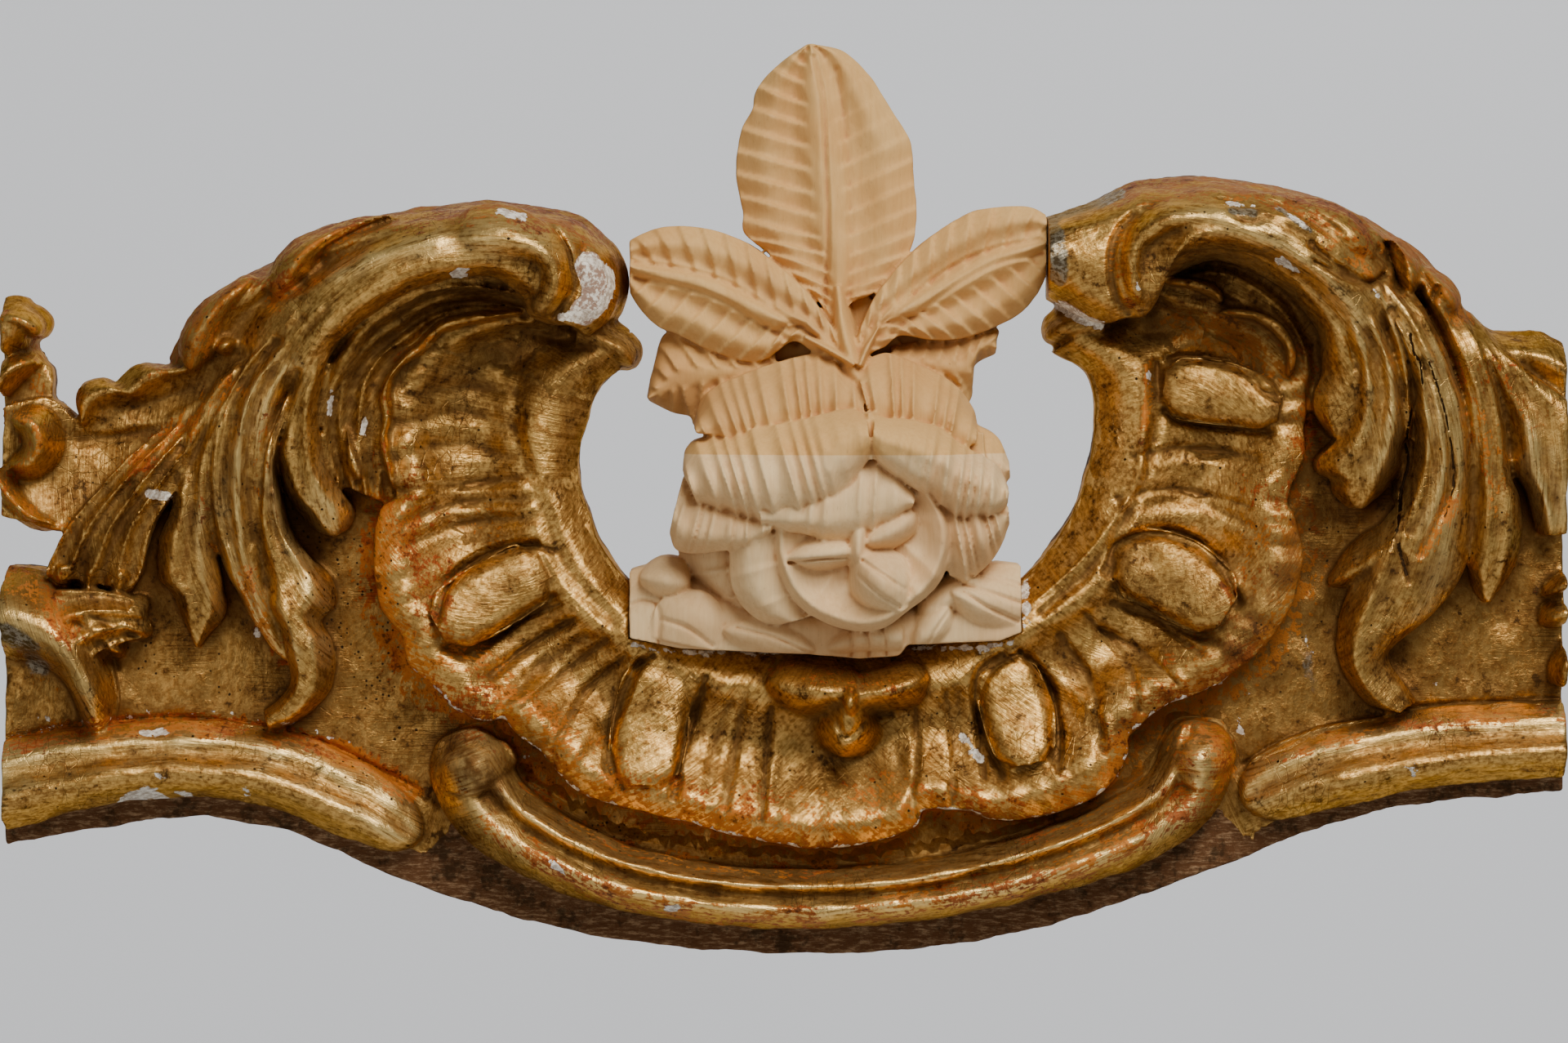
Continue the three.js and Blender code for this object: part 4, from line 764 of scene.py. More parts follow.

# Where the gilding is bright with painted highlights, worn, chipped, dirty or darkened with painted shade:
# drawn lines, their reach in drawing steps and strength.
ARM_TOP_LEFT = [(204, 431), (250, 372), (320, 318), (400, 276), (480, 256), (560, 250), (640, 256),
                (720, 284)]
ARM_TOP_RIGHT = [(1367, 232), (1440, 222), (1544, 228), (1649, 258), (1733, 306), (1792, 370)]
FRILL_RIGHT = [(1401, 883), (1486, 843), (1554, 788), (1592, 713), (1595, 672), (1585, 632)]
# Painted highlights on the mouldings, the scroll, the leaves and the arms, partly burnished gold.
BURNISH_AND_HIGHLIGHT = [
    ([(-8, 948), (97, 934), (222, 922), (300, 932), (367, 951), (430, 984), (483, 1020)], 16, 1.0),
    ([(620, 1010), (720, 1070), (850, 1104), (1000, 1112)], 10, 0.8),
    ([(240, 620), (262, 700), (280, 760)], 20, 0.7),
    ([(330, 560), (350, 640), (386, 730), (398, 800)], 18, 0.8),
    ([(1730, 480), (1760, 560), (1768, 660), (1740, 760)], 18, 0.8),
    ([(420, 330), (500, 300), (600, 300)], 22, 0.7),
    ([(-8, 945), (110, 915), (230, 905), (340, 920), (430, 955), (510, 1000)], 34, 1.0),
    ([(1540, 960), (1600, 925), (1680, 905), (1780, 890), (1928, 880)], 34, 0.8),
    ([(580, 900), (580, 950), (620, 1000), (750, 1066), (870, 1090), (1000, 1098), (1130, 1090),
      (1260, 1060), (1365, 1024), (1440, 980), (1464, 930)], 40, 0.8),
    ([(350, 460), (300, 540), (290, 640), (310, 740), (340, 800)], 34, 0.8),
    ([(420, 560), (400, 640)], 34, 0.6),
    ([(1690, 380), (1700, 480), (1690, 560)], 34, 0.7),
    ([(1760, 440), (1780, 560), (1760, 660)], 34, 0.7),
    ([(1880, 540), (1900, 620)], 30, 0.9),
    ([(520, 270), (620, 276), (700, 300)], 30, 0.6),
    ([(1440, 250), (1540, 290), (1640, 380), (1690, 440)], 24, 0.6),
    ([(0, 760), (60, 800), (90, 860)], 34, 0.8),
]
BOLE = [
    ([(1440, 400), (1500, 396), (1560, 430)], 26, 0.7),
    ([(1440, 940), (1470, 905), (1500, 890)], 20, 0.8),    (ARM_TOP_LEFT, 44, 0.85),
    ([(224, 400), (300, 340), (380, 300), (420, 290)], 40, 0.75),
    ([(352, 342), (340, 368)], 30, 0.9),
    ([(240, 440), (262, 400)], 26, 0.7),
    (ARM_TOP_RIGHT, 40, 0.9),
    ([(1560, 244), (1640, 290), (1668, 322)], 30, 0.75),
    ([(1728, 322), (1768, 366), (1780, 388)], 24, 0.7),
    ([(1380, 264), (1366, 310), (1380, 372)], 22, 0.6),
    ([(464, 627), (458, 675), (464, 740), (500, 816), (557, 868), (633, 900), (701, 965), (800, 997),
      (930, 1030), (1010, 1040), (1085, 1029), (1132, 993)], 46, 0.9),
    ([(500, 640), (520, 700), (560, 800), (650, 880), (740, 950), (860, 985), (1000, 1000), (1110, 970)], 60,
     0.72),
    ([(1180, 993), (1268, 1002), (1364, 958), (1381, 920)], 44, 0.9),
    (FRILL_RIGHT, 48, 0.9),
    ([(1540, 600), (1540, 700), (1470, 800), (1400, 850)], 46, 0.62),
    ([(1578, 615), (1598, 557), (1600, 500), (1590, 440)], 34, 0.75),
    ([(1440, 396), (1500, 410), (1566, 446)], 36, 0.85),
    ([(1408, 446), (1404, 520)], 12, 0.9),
    ([(520, 420), (490, 446), (474, 500), (474, 580)], 20, 0.5),
    ([(480, 560), (520, 640), (600, 640)], 50, 0.5),
    ([(-8, 920), (110, 895), (230, 890), (340, 902), (430, 930), (500, 975)], 22, 0.95),
    ([(1560, 930), (1680, 896), (1800, 882), (1928, 876)], 18, 0.75),
    ([(585, 900), (560, 930), (556, 970)], 26, 0.45),
    ([(1440, 900), (1470, 890), (1496, 920), (1490, 960), (1440, 1000)], 34, 0.85),
    ([(600, 1010), (720, 1080), (850, 1118), (1000, 1128)], 30, 0.8),
    ([(1060, 1116), (1240, 1086), (1380, 1036), (1450, 970)], 36, 0.8),
    ([(640, 960), (740, 1030), (870, 1062), (1000, 1070)], 14, 0.7),
    ([(160, 574), (200, 540), (240, 510), (281, 479)], 26, 0.8),
    ([(300, 700), (320, 760), (346, 806)], 26, 0.75),
    ([(250, 560), (256, 650), (280, 720)], 16, 0.5),
    ([(340, 480), (320, 560), (322, 640)], 14, 0.5),
    ([(0, 500), (40, 520), (30, 570), (10, 600), (40, 636), (70, 645)], 28, 0.75),
    ([(-8, 700), (30, 714), (60, 730), (80, 770)], 34, 0.85),
    ([(-8, 780), (40, 800), (60, 850)], 30, 0.6),
    ([(-8, 390), (30, 400), (40, 470)], 30, 0.6),
    ([(1780, 609), (1765, 640), (1739, 678)], 16, 1.0),
    ([(1786, 440), (1812, 520), (1826, 620)], 30, 0.6),
    ([(1840, 460), (1880, 520)], 40, 0.45),
    ([(1650, 690), (1640, 720)], 18, 0.5),
    ([(950, 820), (1000, 826), (1090, 836)], 20, 0.6),
    ([(640, 980), (600, 960)], 20, 0.4),
]
CHIPS = [
    (SHELL_OUTER[13:40], 6, 0.5),
    ([(-8, 908), (110, 884), (230, 874), (340, 886), (430, 918)], 7, 0.42),
    ([(688, 388), (712, 390), (734, 382), (746, 362), (748, 338), (736, 324), (716, 316)], 7, 1.0),
    ([(700, 386), (730, 384)], 8, 0.95),
    ([(560, 335), (572, 334)], 8, 1.0),
    ([(612, 260), (646, 266)], 8, 0.8),
    ([(184, 604), (202, 607)], 9, 1.0),
    ([(406, 480), (403, 510)], 5, 0.8),
    ([(442, 535), (447, 514)], 6, 0.8),
    ([(44, 884), (60, 884)], 6, 0.9),
    ([(174, 899), (202, 898)], 6, 1.0),
    ([(150, 984), (182, 972), (198, 990)], 13, 0.9),
    ([(215, 972), (228, 976)], 6, 0.9),
    ([(298, 966), (302, 972)], 7, 0.9),
    ([(190, 948), (194, 952)], 5, 0.9),
    ([(1300, 374), (1320, 388), (1346, 398)], 9, 1.0),
    ([(1389, 348), (1391, 354)], 6, 0.9),
    ([(1562, 318), (1580, 328)], 8, 0.9),
    ([(1680, 356), (1684, 364)], 6, 0.85),
    ([(1408, 458), (1410, 466)], 6, 0.85),
    ([(1500, 250), (1530, 252)], 5, 0.7),
    ([(1572, 262), (1596, 282)], 6, 0.75),
    ([(1727, 938), (1731, 946)], 8, 1.0),
    ([(1515, 884), (1522, 898)], 7, 0.85),
    ([(1533, 842), (1536, 858)], 6, 0.8),
    ([(1606, 786), (1612, 800)], 7, 0.75),
    ([(1756, 838), (1760, 842)], 7, 0.9),
    ([(1494, 508), (1496, 512)], 4, 0.7),
    ([(818, 1112), (834, 1108)], 8, 0.9),
    ([(672, 1052), (690, 1066)], 6, 0.6),
    ([(1180, 906), (1200, 930)], 10, 0.72),
    ([(640, 930), (660, 936)], 6, 0.6),
    ([(310, 774), (312, 780)], 6, 0.85),
    ([(776, 790), (830, 800), (900, 800), (960, 802)], 6, 0.72),
    ([(1120, 796), (1200, 794), (1248, 786)], 6, 0.72),
    ([(1256, 716), (1258, 770)], 8, 0.8),
]
SCAR = [
    ([(722, 324), (728, 344), (728, 366), (716, 382)], 24, 1.0),
    ([(1300, 374), (1330, 392)], 10, 0.9),
]
SOOT = [
    ([(420, 700), (430, 800), (470, 900)], 90, 1.0),
    ([(180, 800), (280, 860)], 70, 0.8),
    ([(360, 640), (380, 700)], 40, 1.0),
    ([(1620, 640), (1616, 760), (1560, 860)], 50, 0.6),
    ([(700, 1010), (800, 1040)], 30, 0.6),
    ([(1420, 280), (1500, 262)], 30, 0.4),
]
CRUST = [
    ([(1284, 262), (1292, 300), (1296, 340)], 16, 1.0),
    ([(1296, 262), (1340, 250), (1372, 236)], 12, 0.9),
    ([(1504, 258), (1530, 262)], 9, 0.75),
    ([(1560, 256), (1600, 284)], 6, 0.8),
    ([(0, 770), (34, 790), (44, 816)], 24, 0.75),
    ([(1600, 790), (1612, 850)], 14, 0.5),
]
CRACKS = [
    ([(1727, 500), (1722, 540), (1726, 566), (1718, 600), (1714, 626), (1709, 644), (1711, 668),
      (1721, 704)], 2.6, 1.0),
    ([(1722, 408), (1727, 432), (1735, 444), (1738, 469)], 2.2, 1.0),
    ([(1744, 440), (1762, 490), (1775, 550), (1777, 600), (1764, 640)], 2.2, 0.8),
]
# Painted shade under the arm lips, in the arms' hollows, on the right frill and between the frill and the
# scroll, with dark patina on the arm tops and the pads.
DARK_AND_SHADE = [
    ([(1500, 790), (1554, 730), (1590, 680), (1600, 640)], 44, 0.9),
    ([(1420, 370), (1490, 372), (1560, 420)], 30, 0.7),
    ([(552, 920), (580, 935), (606, 962)], 44, 1.0),    (FRILL_RIGHT, 50, 0.5),
    (ARM_TOP_RIGHT, 44, 0.55),
    (ARM_TOP_LEFT, 44, 0.55),
    ([(540, 766), (600, 731), (660, 696)], 40, 0.4),
    ([(1380, 690), (1436, 706), (1496, 746)], 44, 0.5),
    ([(1430, 474), (1498, 482), (1560, 498)], 40, 0.45),
    ([(540, 470), (620, 450), (690, 470)], 60, 0.5),
    ([(290, 560), (240, 640), (230, 720)], 30, 0.4),
    ([(100, 600), (140, 660)], 50, 0.4),
    ([(1700, 800), (1700, 850)], 36, 0.4),
    ([(1410, 402), (1500, 404), (1560, 440)], 34, 0.6),
    ([(1320, 380), (1300, 420)], 34, 0.5),
    ([(660, 420), (720, 420), (756, 440)], 40, 0.6),
    ([(1664, 352), (1690, 340), (1700, 300)], 12, 0.8),
    ([(1510, 262), (1536, 262)], 12, 0.6),
    ([(1430, 322), (1480, 308), (1540, 320)], 12, 0.7),
    ([(341, 592), (352, 630), (385, 680)], 18, 0.9),
    ([(1643, 640), (1690, 620), (1721, 574)], 16, 0.9),
    ([(1690, 710), (1720, 700), (1770, 700)], 30, 0.7),
    ([(640, 900), (690, 960), (760, 1000), (900, 1040), (1060, 1046), (1130, 1020), (1200, 1010),
      (1300, 1004), (1370, 970), (1400, 910)], 20, 0.7),
    ([(700, 400), (600, 360), (500, 390), (430, 460), (410, 560)], 26, 0.6),
    ([(1330, 400), (1420, 400), (1500, 400)], 20, 0.4),
    ([(1440, 330), (1530, 340), (1590, 410), (1600, 480)], 24, 0.6),
    ([(1868, 560), (1880, 640)], 10, 0.9),
    ([(60, 720), (140, 730), (180, 740)], 18, 0.6),
]

# These places are kept for the material, and so is the bare wood of the tacking margin and of the back.
for name, lines in (("burnish_and_highlight", BURNISH_AND_HIGHLIGHT), ("bole", BOLE), ("chip", CHIPS), ("scar", SCAR), ("soot", SOOT),
                    ("crust", CRUST), ("crack", CRACKS), ("dark_and_shade", DARK_AND_SHADE)):
    store(crest_piece.data, name, zone(crest_piece.data, lines))
MARGIN = [(-8, 1000), (110, 984), (240, 970), (340, 984), (430, 1022), (520, 1050), (560, 1000), (640, 1056),
          (760, 1100), (880, 1128), (1000, 1136), (1130, 1126), (1260, 1098), (1380, 1056), (1490, 990),
          (1530, 1030), (1600, 990), (1680, 966), (1780, 950), (1928, 940)]

# The heights of the bare edge at the back, the tacking margin, the plain fields and the shell.
BARE_BACK = 5
MARGIN_HEIGHT = 20
PLAIN_HEIGHT = 17.5
SHELL_HEIGHT = 36
x, y = drawn(crest_piece.data)
height = -corners(crest_piece.data)[:, 1] / MM
margin = np.clip((y - np.interp(x, *np.array(MARGIN, float).T)) / 8 + 0.5, 0, 1)
margin = margin * np.clip((MARGIN_HEIGHT - height) / 2, 0, 1)
store(crest_piece.data, "bare", np.maximum(margin, np.clip((BARE_BACK - height) / 2, 0, 1)))

# The way that the brush and the rubbing went: round each arm and its leaves, across the shell, along the
# mouldings and down the fields. It is kept as distances across and along that way, in drawing steps.
ARM_MIDDLES = ((600, 580), (1420, 590))
SHELL_MIDDLE = (1020, 590)
ARM_ROUND = 340
SHELL_ROUND = 420
LOWER = [(-8, 905), (79, 893), (214, 882), (321, 896), (446, 938), (520, 985), (545, 900), (600, 880),
         (640, 950), (760, 1022), (1000, 1056), (1240, 1026), (1400, 950), (1440, 880), (1500, 880),
         (1528, 940), (1622, 897), (1751, 868), (1928, 860)]
left = x < ORIGIN[0]
round_x = x - np.where(left, ARM_MIDDLES[0][0], ARM_MIDDLES[1][0])
round_y = y - np.where(left, ARM_MIDDLES[0][1], ARM_MIDDLES[1][1])
across = np.hypot(round_x, round_y)
along = ARM_ROUND * np.arctan2(round_y, np.abs(round_x) * np.where(left == (round_x < 0), 1, -1))
shell_x, shell_y = x - SHELL_MIDDLE[0], y - SHELL_MIDDLE[1]
turn = np.arctan2(shell_y, shell_x)
rim = np.array(SHELL_OUTER[3:-2], float) - SHELL_MIDDLE
rim_turn = np.unwrap(np.arctan2(rim[:, 1], rim[:, 0]))
turn = np.where(turn < rim_turn.min(), turn + 2 * np.pi, turn)
order = np.argsort(rim_turn)
reach = np.interp(turn, rim_turn[order], np.hypot(rim[:, 0], rim[:, 1])[order], left=0, right=0)
on_shell = (np.hypot(shell_x, shell_y) < reach + 4) & (height < SHELL_HEIGHT)
across = np.where(on_shell, SHELL_ROUND * turn, across)
along = np.where(on_shell, np.hypot(shell_x, shell_y), along)
plain = (height < PLAIN_HEIGHT) & ~on_shell
across, along = np.where(plain, 0.35 * x, across), np.where(plain, 2.6 * y, along)
below = y - np.interp(x, *np.array(LOWER, float).T)
under = below > 0
across = np.where(under, below, across)
along = np.where(under, x, along)
for name, values in (("plain", (plain & ~under) * 1.0), ("across", across), ("along", along)):
    store(crest_piece.data, name, values)


def nodes_of(name):
    """A new material with its node tree and its shader. The helpers below add to the newest tree."""
    material = bpy.data.materials.new(name)
    material.use_nodes = True
    nodes = material.node_tree
    return material, nodes, nodes.nodes["Principled BSDF"]


def node(kind, inputs, out=0, **settings):
    """One output of a new node. Its inputs are values or outputs of other nodes."""
    made = tree.nodes.new("ShaderNode" + kind)
    for key, value in settings.items():
        setattr(made, key, value)
    for key, value in inputs.items():
        if isinstance(value, bpy.types.NodeSocket):
            tree.links.new(value, made.inputs[key])
        else:
            made.inputs[key].default_value = value
    return made.outputs[out]


def stored(name):
    """Values that were kept at the corners of the mesh."""
    return node("Attribute", {}, 2, attribute_name=name)


def noise(where, scale, detail=3, rough=0.55):
    """A cloudy pattern from 0 to 1."""
    return node("TexNoise", {"Vector": where, "Scale": scale, "Detail": detail, "Roughness": rough})


def rising(value, low, high):
    """0 below low, 1 above high and a smooth rise between them."""
    inputs = {"Value": value, "From Min": low, "From Max": high}
    return node("MapRange", inputs, interpolation_type="SMOOTHSTEP")


def times(a, b):
    """Two values multiplied."""
    return node("Math", {0: a, 1: b}, operation="MULTIPLY")


def weighted(value, weight, rest):
    """A value times its weight, and the rest added."""
    return node("Math", {0: value, 1: weight, 2: rest}, operation="MULTIPLY_ADD")


def larger(a, b):
    """The larger of two values."""
    return node("Math", {0: a, 1: b}, operation="MAXIMUM")


def mixed(share, a, b, blend="MIX"):
    """Colour a with a share of colour b over it."""
    return node("Mix", {0: share, 6: a, 7: b}, 2, data_type="RGBA", blend_type=blend)


def stretched(where, scale):
    """Places scaled, so that a pattern read there is drawn out."""
    return node("Mapping", {"Vector": where, "Scale": scale})


# The old gilding: gold leaf rubbed to its orange and red bole, over white gesso, with dirt and painted shade
# in the hollows and painted highlights on its ridges.
GOLD_BURNISH_AND_HIGHLIGHT = (0.95, 0.66, 0.24, 1)
GOLD = (0.68, 0.395, 0.11, 1)
GOLD_DEEP = (0.34, 0.165, 0.036, 1)
UMBER = (0.24, 0.1, 0.022, 1)
PATINA_AND_SHADE = (0.12, 0.05, 0.013, 1)
GRIME = (0.035, 0.018, 0.008, 1)
BOLE_ORANGE = (0.46, 0.135, 0.018, 1)
BOLE_RED = (0.29, 0.05, 0.01, 1)
GESSO = (0.84, 0.76, 0.62, 1)
GESSO_DIRTY = (0.45, 0.36, 0.27, 1)
SCAR_BROWN = (0.36, 0.23, 0.16, 1)
CRUST_GREY = (0.3, 0.26, 0.18, 1)
CRUST_DARK = (0.07, 0.05, 0.03, 1)
OLD_WOOD = (0.12, 0.05, 0.02, 1)
FIBRE = (0.34, 0.2, 0.1, 1)

gilding, tree, shader = nodes_of("aged_gilding")
here = node("TexCoord", {}, 3)
broad = noise(here, 45, 3)
patchy = noise(here, 160, 4, 0.6)
fine = noise(here, 700, 4, 0.65)
way = node("CombineXYZ", {"X": stored("across"), "Y": stored("along")})
streaks = noise(stretched(way, (0.3, 0.022, 1)), 1, 4, 0.65)
smears = noise(stretched(way, (0.07, 0.009, 1)), 1, 4, 0.6)
near = stored("near")
far = stored("far")

# The gold itself, thin in places, with smoke, its burnished ridges with painted highlights, and the dirt and
# painted shade of the hollows.
tone = weighted(fine, 0.55, times(streaks, 0.45))
colour = mixed(rising(tone, 0.4, 0.62), GOLD, GOLD_DEEP)
thin_gold = weighted(patchy, 0.5, times(fine, 0.4))
thin_gold = weighted(smears, 0.5, thin_gold)
colour = mixed(times(rising(thin_gold, 0.64, 0.84), 0.75), colour, UMBER)
smoke = weighted(patchy, 0.7, weighted(streaks, 0.7, times(fine, 0.5)))
colour = mixed(times(rising(smoke, 0.98, 1.28), 0.7), colour, PATINA_AND_SHADE)
ridge = rising(weighted(fine, 0.5, near), 0.45, 0.95)
# Painted highlight, partly burnished gold, on the proud places that the bright lines reach.
burnish_and_highlight_mask = times(rising(weighted(patchy, 3.0, far), 0.6, 3.0),
               stored("burnish_and_highlight"))
burnish_and_highlight_mask = times(burnish_and_highlight_mask, rising(streaks, 0.68, 0.42))
colour = mixed(burnish_and_highlight_mask, colour, GOLD_BURNISH_AND_HIGHLIGHT)
colour = mixed(times(stored("plain"), 0.5), colour, UMBER)
# The hollows are darkened: dirt, and painted shade that is strongest in the deep recesses.
hollow = rising(weighted(patchy, -0.8, near), -0.3, -0.95)
deep = rising(weighted(patchy, -2.0, far), -0.6, -3.4)
dirt_and_shade = larger(hollow, times(deep, 0.85))
colour = mixed(times(dirt_and_shade, 0.88), colour, PATINA_AND_SHADE)

# Rubbed places, where the orange and the red bole show.
rub = weighted(ridge, 0.2, times(stored("bole"), 0.6))
rub = weighted(fine, 1.2, rub)
rub = weighted(streaks, 0.9, rub)
rub = weighted(patchy, 1.1, rub)
bole = rising(rub, 2.04, 2.13)
red = rising(weighted(fine, 0.5, broad), 0.72, 0.88)
colour = mixed(times(bole, 0.88), colour, mixed(red, BOLE_ORANGE, BOLE_RED))
# Painted shade, with some dark patina, where the dark lines reach.
shade = times(stored("dark_and_shade"), rising(patchy, 0.2, 0.6))
colour = mixed(shade, colour, PATINA_AND_SHADE)
dirt_and_shade = larger(dirt_and_shade, shade)

# Specks of soot and smuts.
cells = node("TexVoronoi", {"Vector": here, "Scale": 700.0, "Randomness": 1.0})
seeds = node("TexVoronoi", {"Vector": here, "Scale": 700.0, "Randomness": 1.0}, 1)
chosen = rising(weighted(stored("soot"), 0.3, seeds), 0.86, 0.9)
specks = times(rising(weighted(fine, 0.5, cells), 0.54, 0.42), chosen)
smut = rising(weighted(fine, 0.9, patchy), 1.08, 1.22)
colour = mixed(larger(specks, times(smut, 0.7)), colour, GRIME)

# Fine crazing and the open cracks.
edges = node("TexVoronoi", {"Vector": stretched(way, (0.05, 0.09, 1)), "Scale": 1.0}, 0,
             feature="DISTANCE_TO_EDGE")
crazed = times(rising(edges, 0.04, 0.01), rising(broad, 0.52, 0.6))
crack = larger(times(crazed, 0.3), rising(stored("crack"), 0.35, 0.6))
colour = mixed(crack, colour, GRIME)

# Grey crust, the scar of bare ground, and the chips down to the gesso.
grey = rising(weighted(patchy, 0.9, stored("crust")), 0.85, 1.15)
colour = mixed(times(grey, 0.9), colour,
               mixed(rising(fine, 0.42, 0.56), CRUST_DARK, CRUST_GREY))
scar = rising(weighted(patchy, 0.5, stored("scar")), 0.75, 0.85)
colour = mixed(scar, colour, mixed(rising(fine, 0.46, 0.6), SCAR_BROWN, GESSO))
ragged = weighted(noise(here, 380, 4, 0.6), 1.7, stored("chip"))
flaked = times(rising(ragged, 1.36, 1.41), rising(stored("chip"), 0.02, 0.1))
colour = mixed(flaked, colour, mixed(rising(fine, 0.4, 0.6), GESSO, GESSO_DIRTY))

# The bare wood.
fibres = noise(stretched(here, (260, 500, 1100)), 1, 5, 0.75)
wood = mixed(rising(fibres, 0.46, 0.68), OLD_WOOD, FIBRE)
wood = mixed(times(rising(weighted(fine, 0.6, patchy), 0.8, 1.0), 0.8),
             wood, GRIME)
bare = rising(weighted(patchy, 0.4, stored("bare")), 0.6, 0.75)
colour = mixed(bare, colour, wood)
tree.links.new(colour, shader.inputs["Base Color"])

# Gold shines; bole, gesso, dirt with its painted shade, and wood don't.
flaked = larger(flaked, scar)
dull = larger(larger(flaked, bare), times(bole, 0.8))
dull = larger(dull, times(dirt_and_shade, 0.6))
tree.links.new(weighted(dull, -0.8, 0.92), shader.inputs["Metallic"])
shader.inputs["Specular IOR Level"].default_value = 0.1
shader.inputs["Specular Tint"].default_value = (0.9, 0.6, 0.3, 1)
rough = weighted(dull, 0.2, weighted(fine, 0.4, 0.15))
tree.links.new(rough, shader.inputs["Roughness"])
surface = weighted(fine, 0.6, times(streaks, 0.7))
surface = weighted(larger(flaked, crack), -0.8, surface)
surface = weighted(times(bare, fibres), 1.5, surface)
bump = node("Bump", {"Height": surface, "Strength": 0.7, "Distance": 0.0005})
tree.links.new(bump, shader.inputs["Normal"])


def finished(piece, material):
    """The piece with its material, and with smooth shading."""
    piece.data.materials.clear()
    piece.data.materials.append(material)
    piece.data.shade_smooth()


finished(crest_piece, gilding)
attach(crest_piece, "root")
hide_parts("gilt_crest")

# The limewood flower: new raw wood, carved from a tanner upper block glued on a paler lower one.
# An upright leaf, two side leaves and two small leaves stand behind a nodding rose on a foot of small leaves.
# The foot stands in the notch, and the tips of the side leaves meet the ends of the arms.
FLOWER_BACK = 5


def veined(count, depth, slant, right=1.0, fine_tip=0.0):
    """A leaf's side veins: steps that rise outwards from the midrib towards the tip."""
    def cut(side, share):
        strength = np.where(side > 0.5, right * (1 - fine_tip * np.clip((share - 0.55) / 0.2, 0, 1)), 1)
        away = np.abs(side - 0.5) * 2
        f = np.mod(count * (share - slant * away), 1)
        fade = np.clip((away - 0.14) / 0.08, 0, 1) * np.clip((1 - share) / 0.06, 0, 1)
        f = np.where(f < 0.84, (f / 0.84) ** 1.5, (1 - f) / 0.16)
        return depth * (f - 0.45) * fade * strength
    return cut


flower = []

# The three large leaves with their side veins, the two small leaves behind the rose, its stem
# and the grounds between them.
LEAF = [[22, 15, 14], [22, 19, 17], [22, 17, 15.5], [23, 21, 18], [22, 17, 15.5], [22, 19, 17],
        [22, 15, 14]]
SIDE_LEAF = [[h + 7 for h in row] for row in LEAF]
BACK_LEAF = [[16, 14], [21, 19], [23, 20], [20, 17], [15, 14]]
flower += [
    sheet([(1012, 400), (1006, 373), (968, 337), (943, 312), (911, 285), (910, 262), (902, 223), (902, 190),
           (908, 157), (921, 133), (927, 107), (954, 77), (988, 53)],
          [(1044, 400), (1040, 374), (1066, 361), (1088, 345), (1117, 301), (1123, 262), (1120, 223),
           (1117, 179), (1104, 151), (1082, 118), (1065, 91), (1034, 62), (996, 52)], LEAF, base=FLOWER_BACK,
          cuts=veined(15, 1.7, 0.09, 0.6, 0.7)),
    sheet([(1036, 428), (1004, 378), (982, 351), (943, 317), (910, 295), (861, 279), (811, 278), (772, 294),
           (763, 306)],
          [(1030, 446), (1000, 434), (971, 418), (938, 440), (910, 442), (866, 428), (833, 411), (805, 400),
           (783, 378), (763, 345)], SIDE_LEAF, base=FLOWER_BACK, cuts=veined(12, 1.5, 0.12)),
    sheet([(1046, 430), (1056, 395), (1074, 360), (1104, 323), (1137, 292), (1176, 267), (1203, 256),
           (1258, 253), (1288, 266)],
          [(1052, 446), (1068, 432), (1084, 424), (1104, 411), (1148, 417), (1192, 411), (1242, 389),
           (1270, 362), (1290, 320)], SIDE_LEAF, base=FLOWER_BACK, cuts=veined(12, 1.5, 0.12)),
    sheet([(950, 430), (900, 425), (850, 410), (813, 410), (798, 455), (791, 487)],
          [(950, 470), (890, 500), (852, 522), (844, 511), (822, 506), (794, 492)], BACK_LEAF,
          base=FLOWER_BACK, cuts=veined(8, 1.8, 0.1)),
    sheet([(1090, 425), (1150, 414), (1219, 402), (1222, 420)],
          [(1100, 450), (1184, 494), (1194, 450), (1221, 434)], BACK_LEAF, base=FLOWER_BACK,
          cuts=veined(8, 1.8, 0.1)),
    strand([(1026, 350), (1032, 400), (1044, 446)], [12, 18, 26], [24, 30, 36], 14, base=FLOWER_BACK),
    strand([(985, 412), (1015, 428), (1046, 446)], [7, 10, 14], [31, 34, 37], 16, base=FLOWER_BACK),
    strand([(1076, 400), (1062, 425), (1052, 448)], [7, 9, 12], [31, 34, 37], 16, base=FLOWER_BACK),
    slab([(985, 360), (1062, 360), (1110, 430), (1060, 490), (960, 490), (920, 440)], FLOWER_BACK, 15),
    slab([(930, 296), (1104, 296), (1080, 384), (1000, 384)], FLOWER_BACK, 13),
    slab([(1054, 396), (1200, 398), (1186, 474), (1054, 490)], FLOWER_BACK, 14),
]


def gouged(count, depth, start=0.0, stop=1.0):
    """Close gouge cuts side by side along a form, each a shallow channel between two sharp ridges.

    The form is nearly plain before its start share and after its stop share."""
    def cut(side, share):
        f = np.mod(share * count + 0.3 * np.sin(share * 17 + 1), 1)
        fade = np.clip((share - start) / 0.1 + 0.25, 0.25, 1) * np.clip((stop - share) / 0.1 + 0.25, 0.25, 1)
        return -depth * fade * (1 - np.abs(2 * f - 1) ** 2)
    return cut


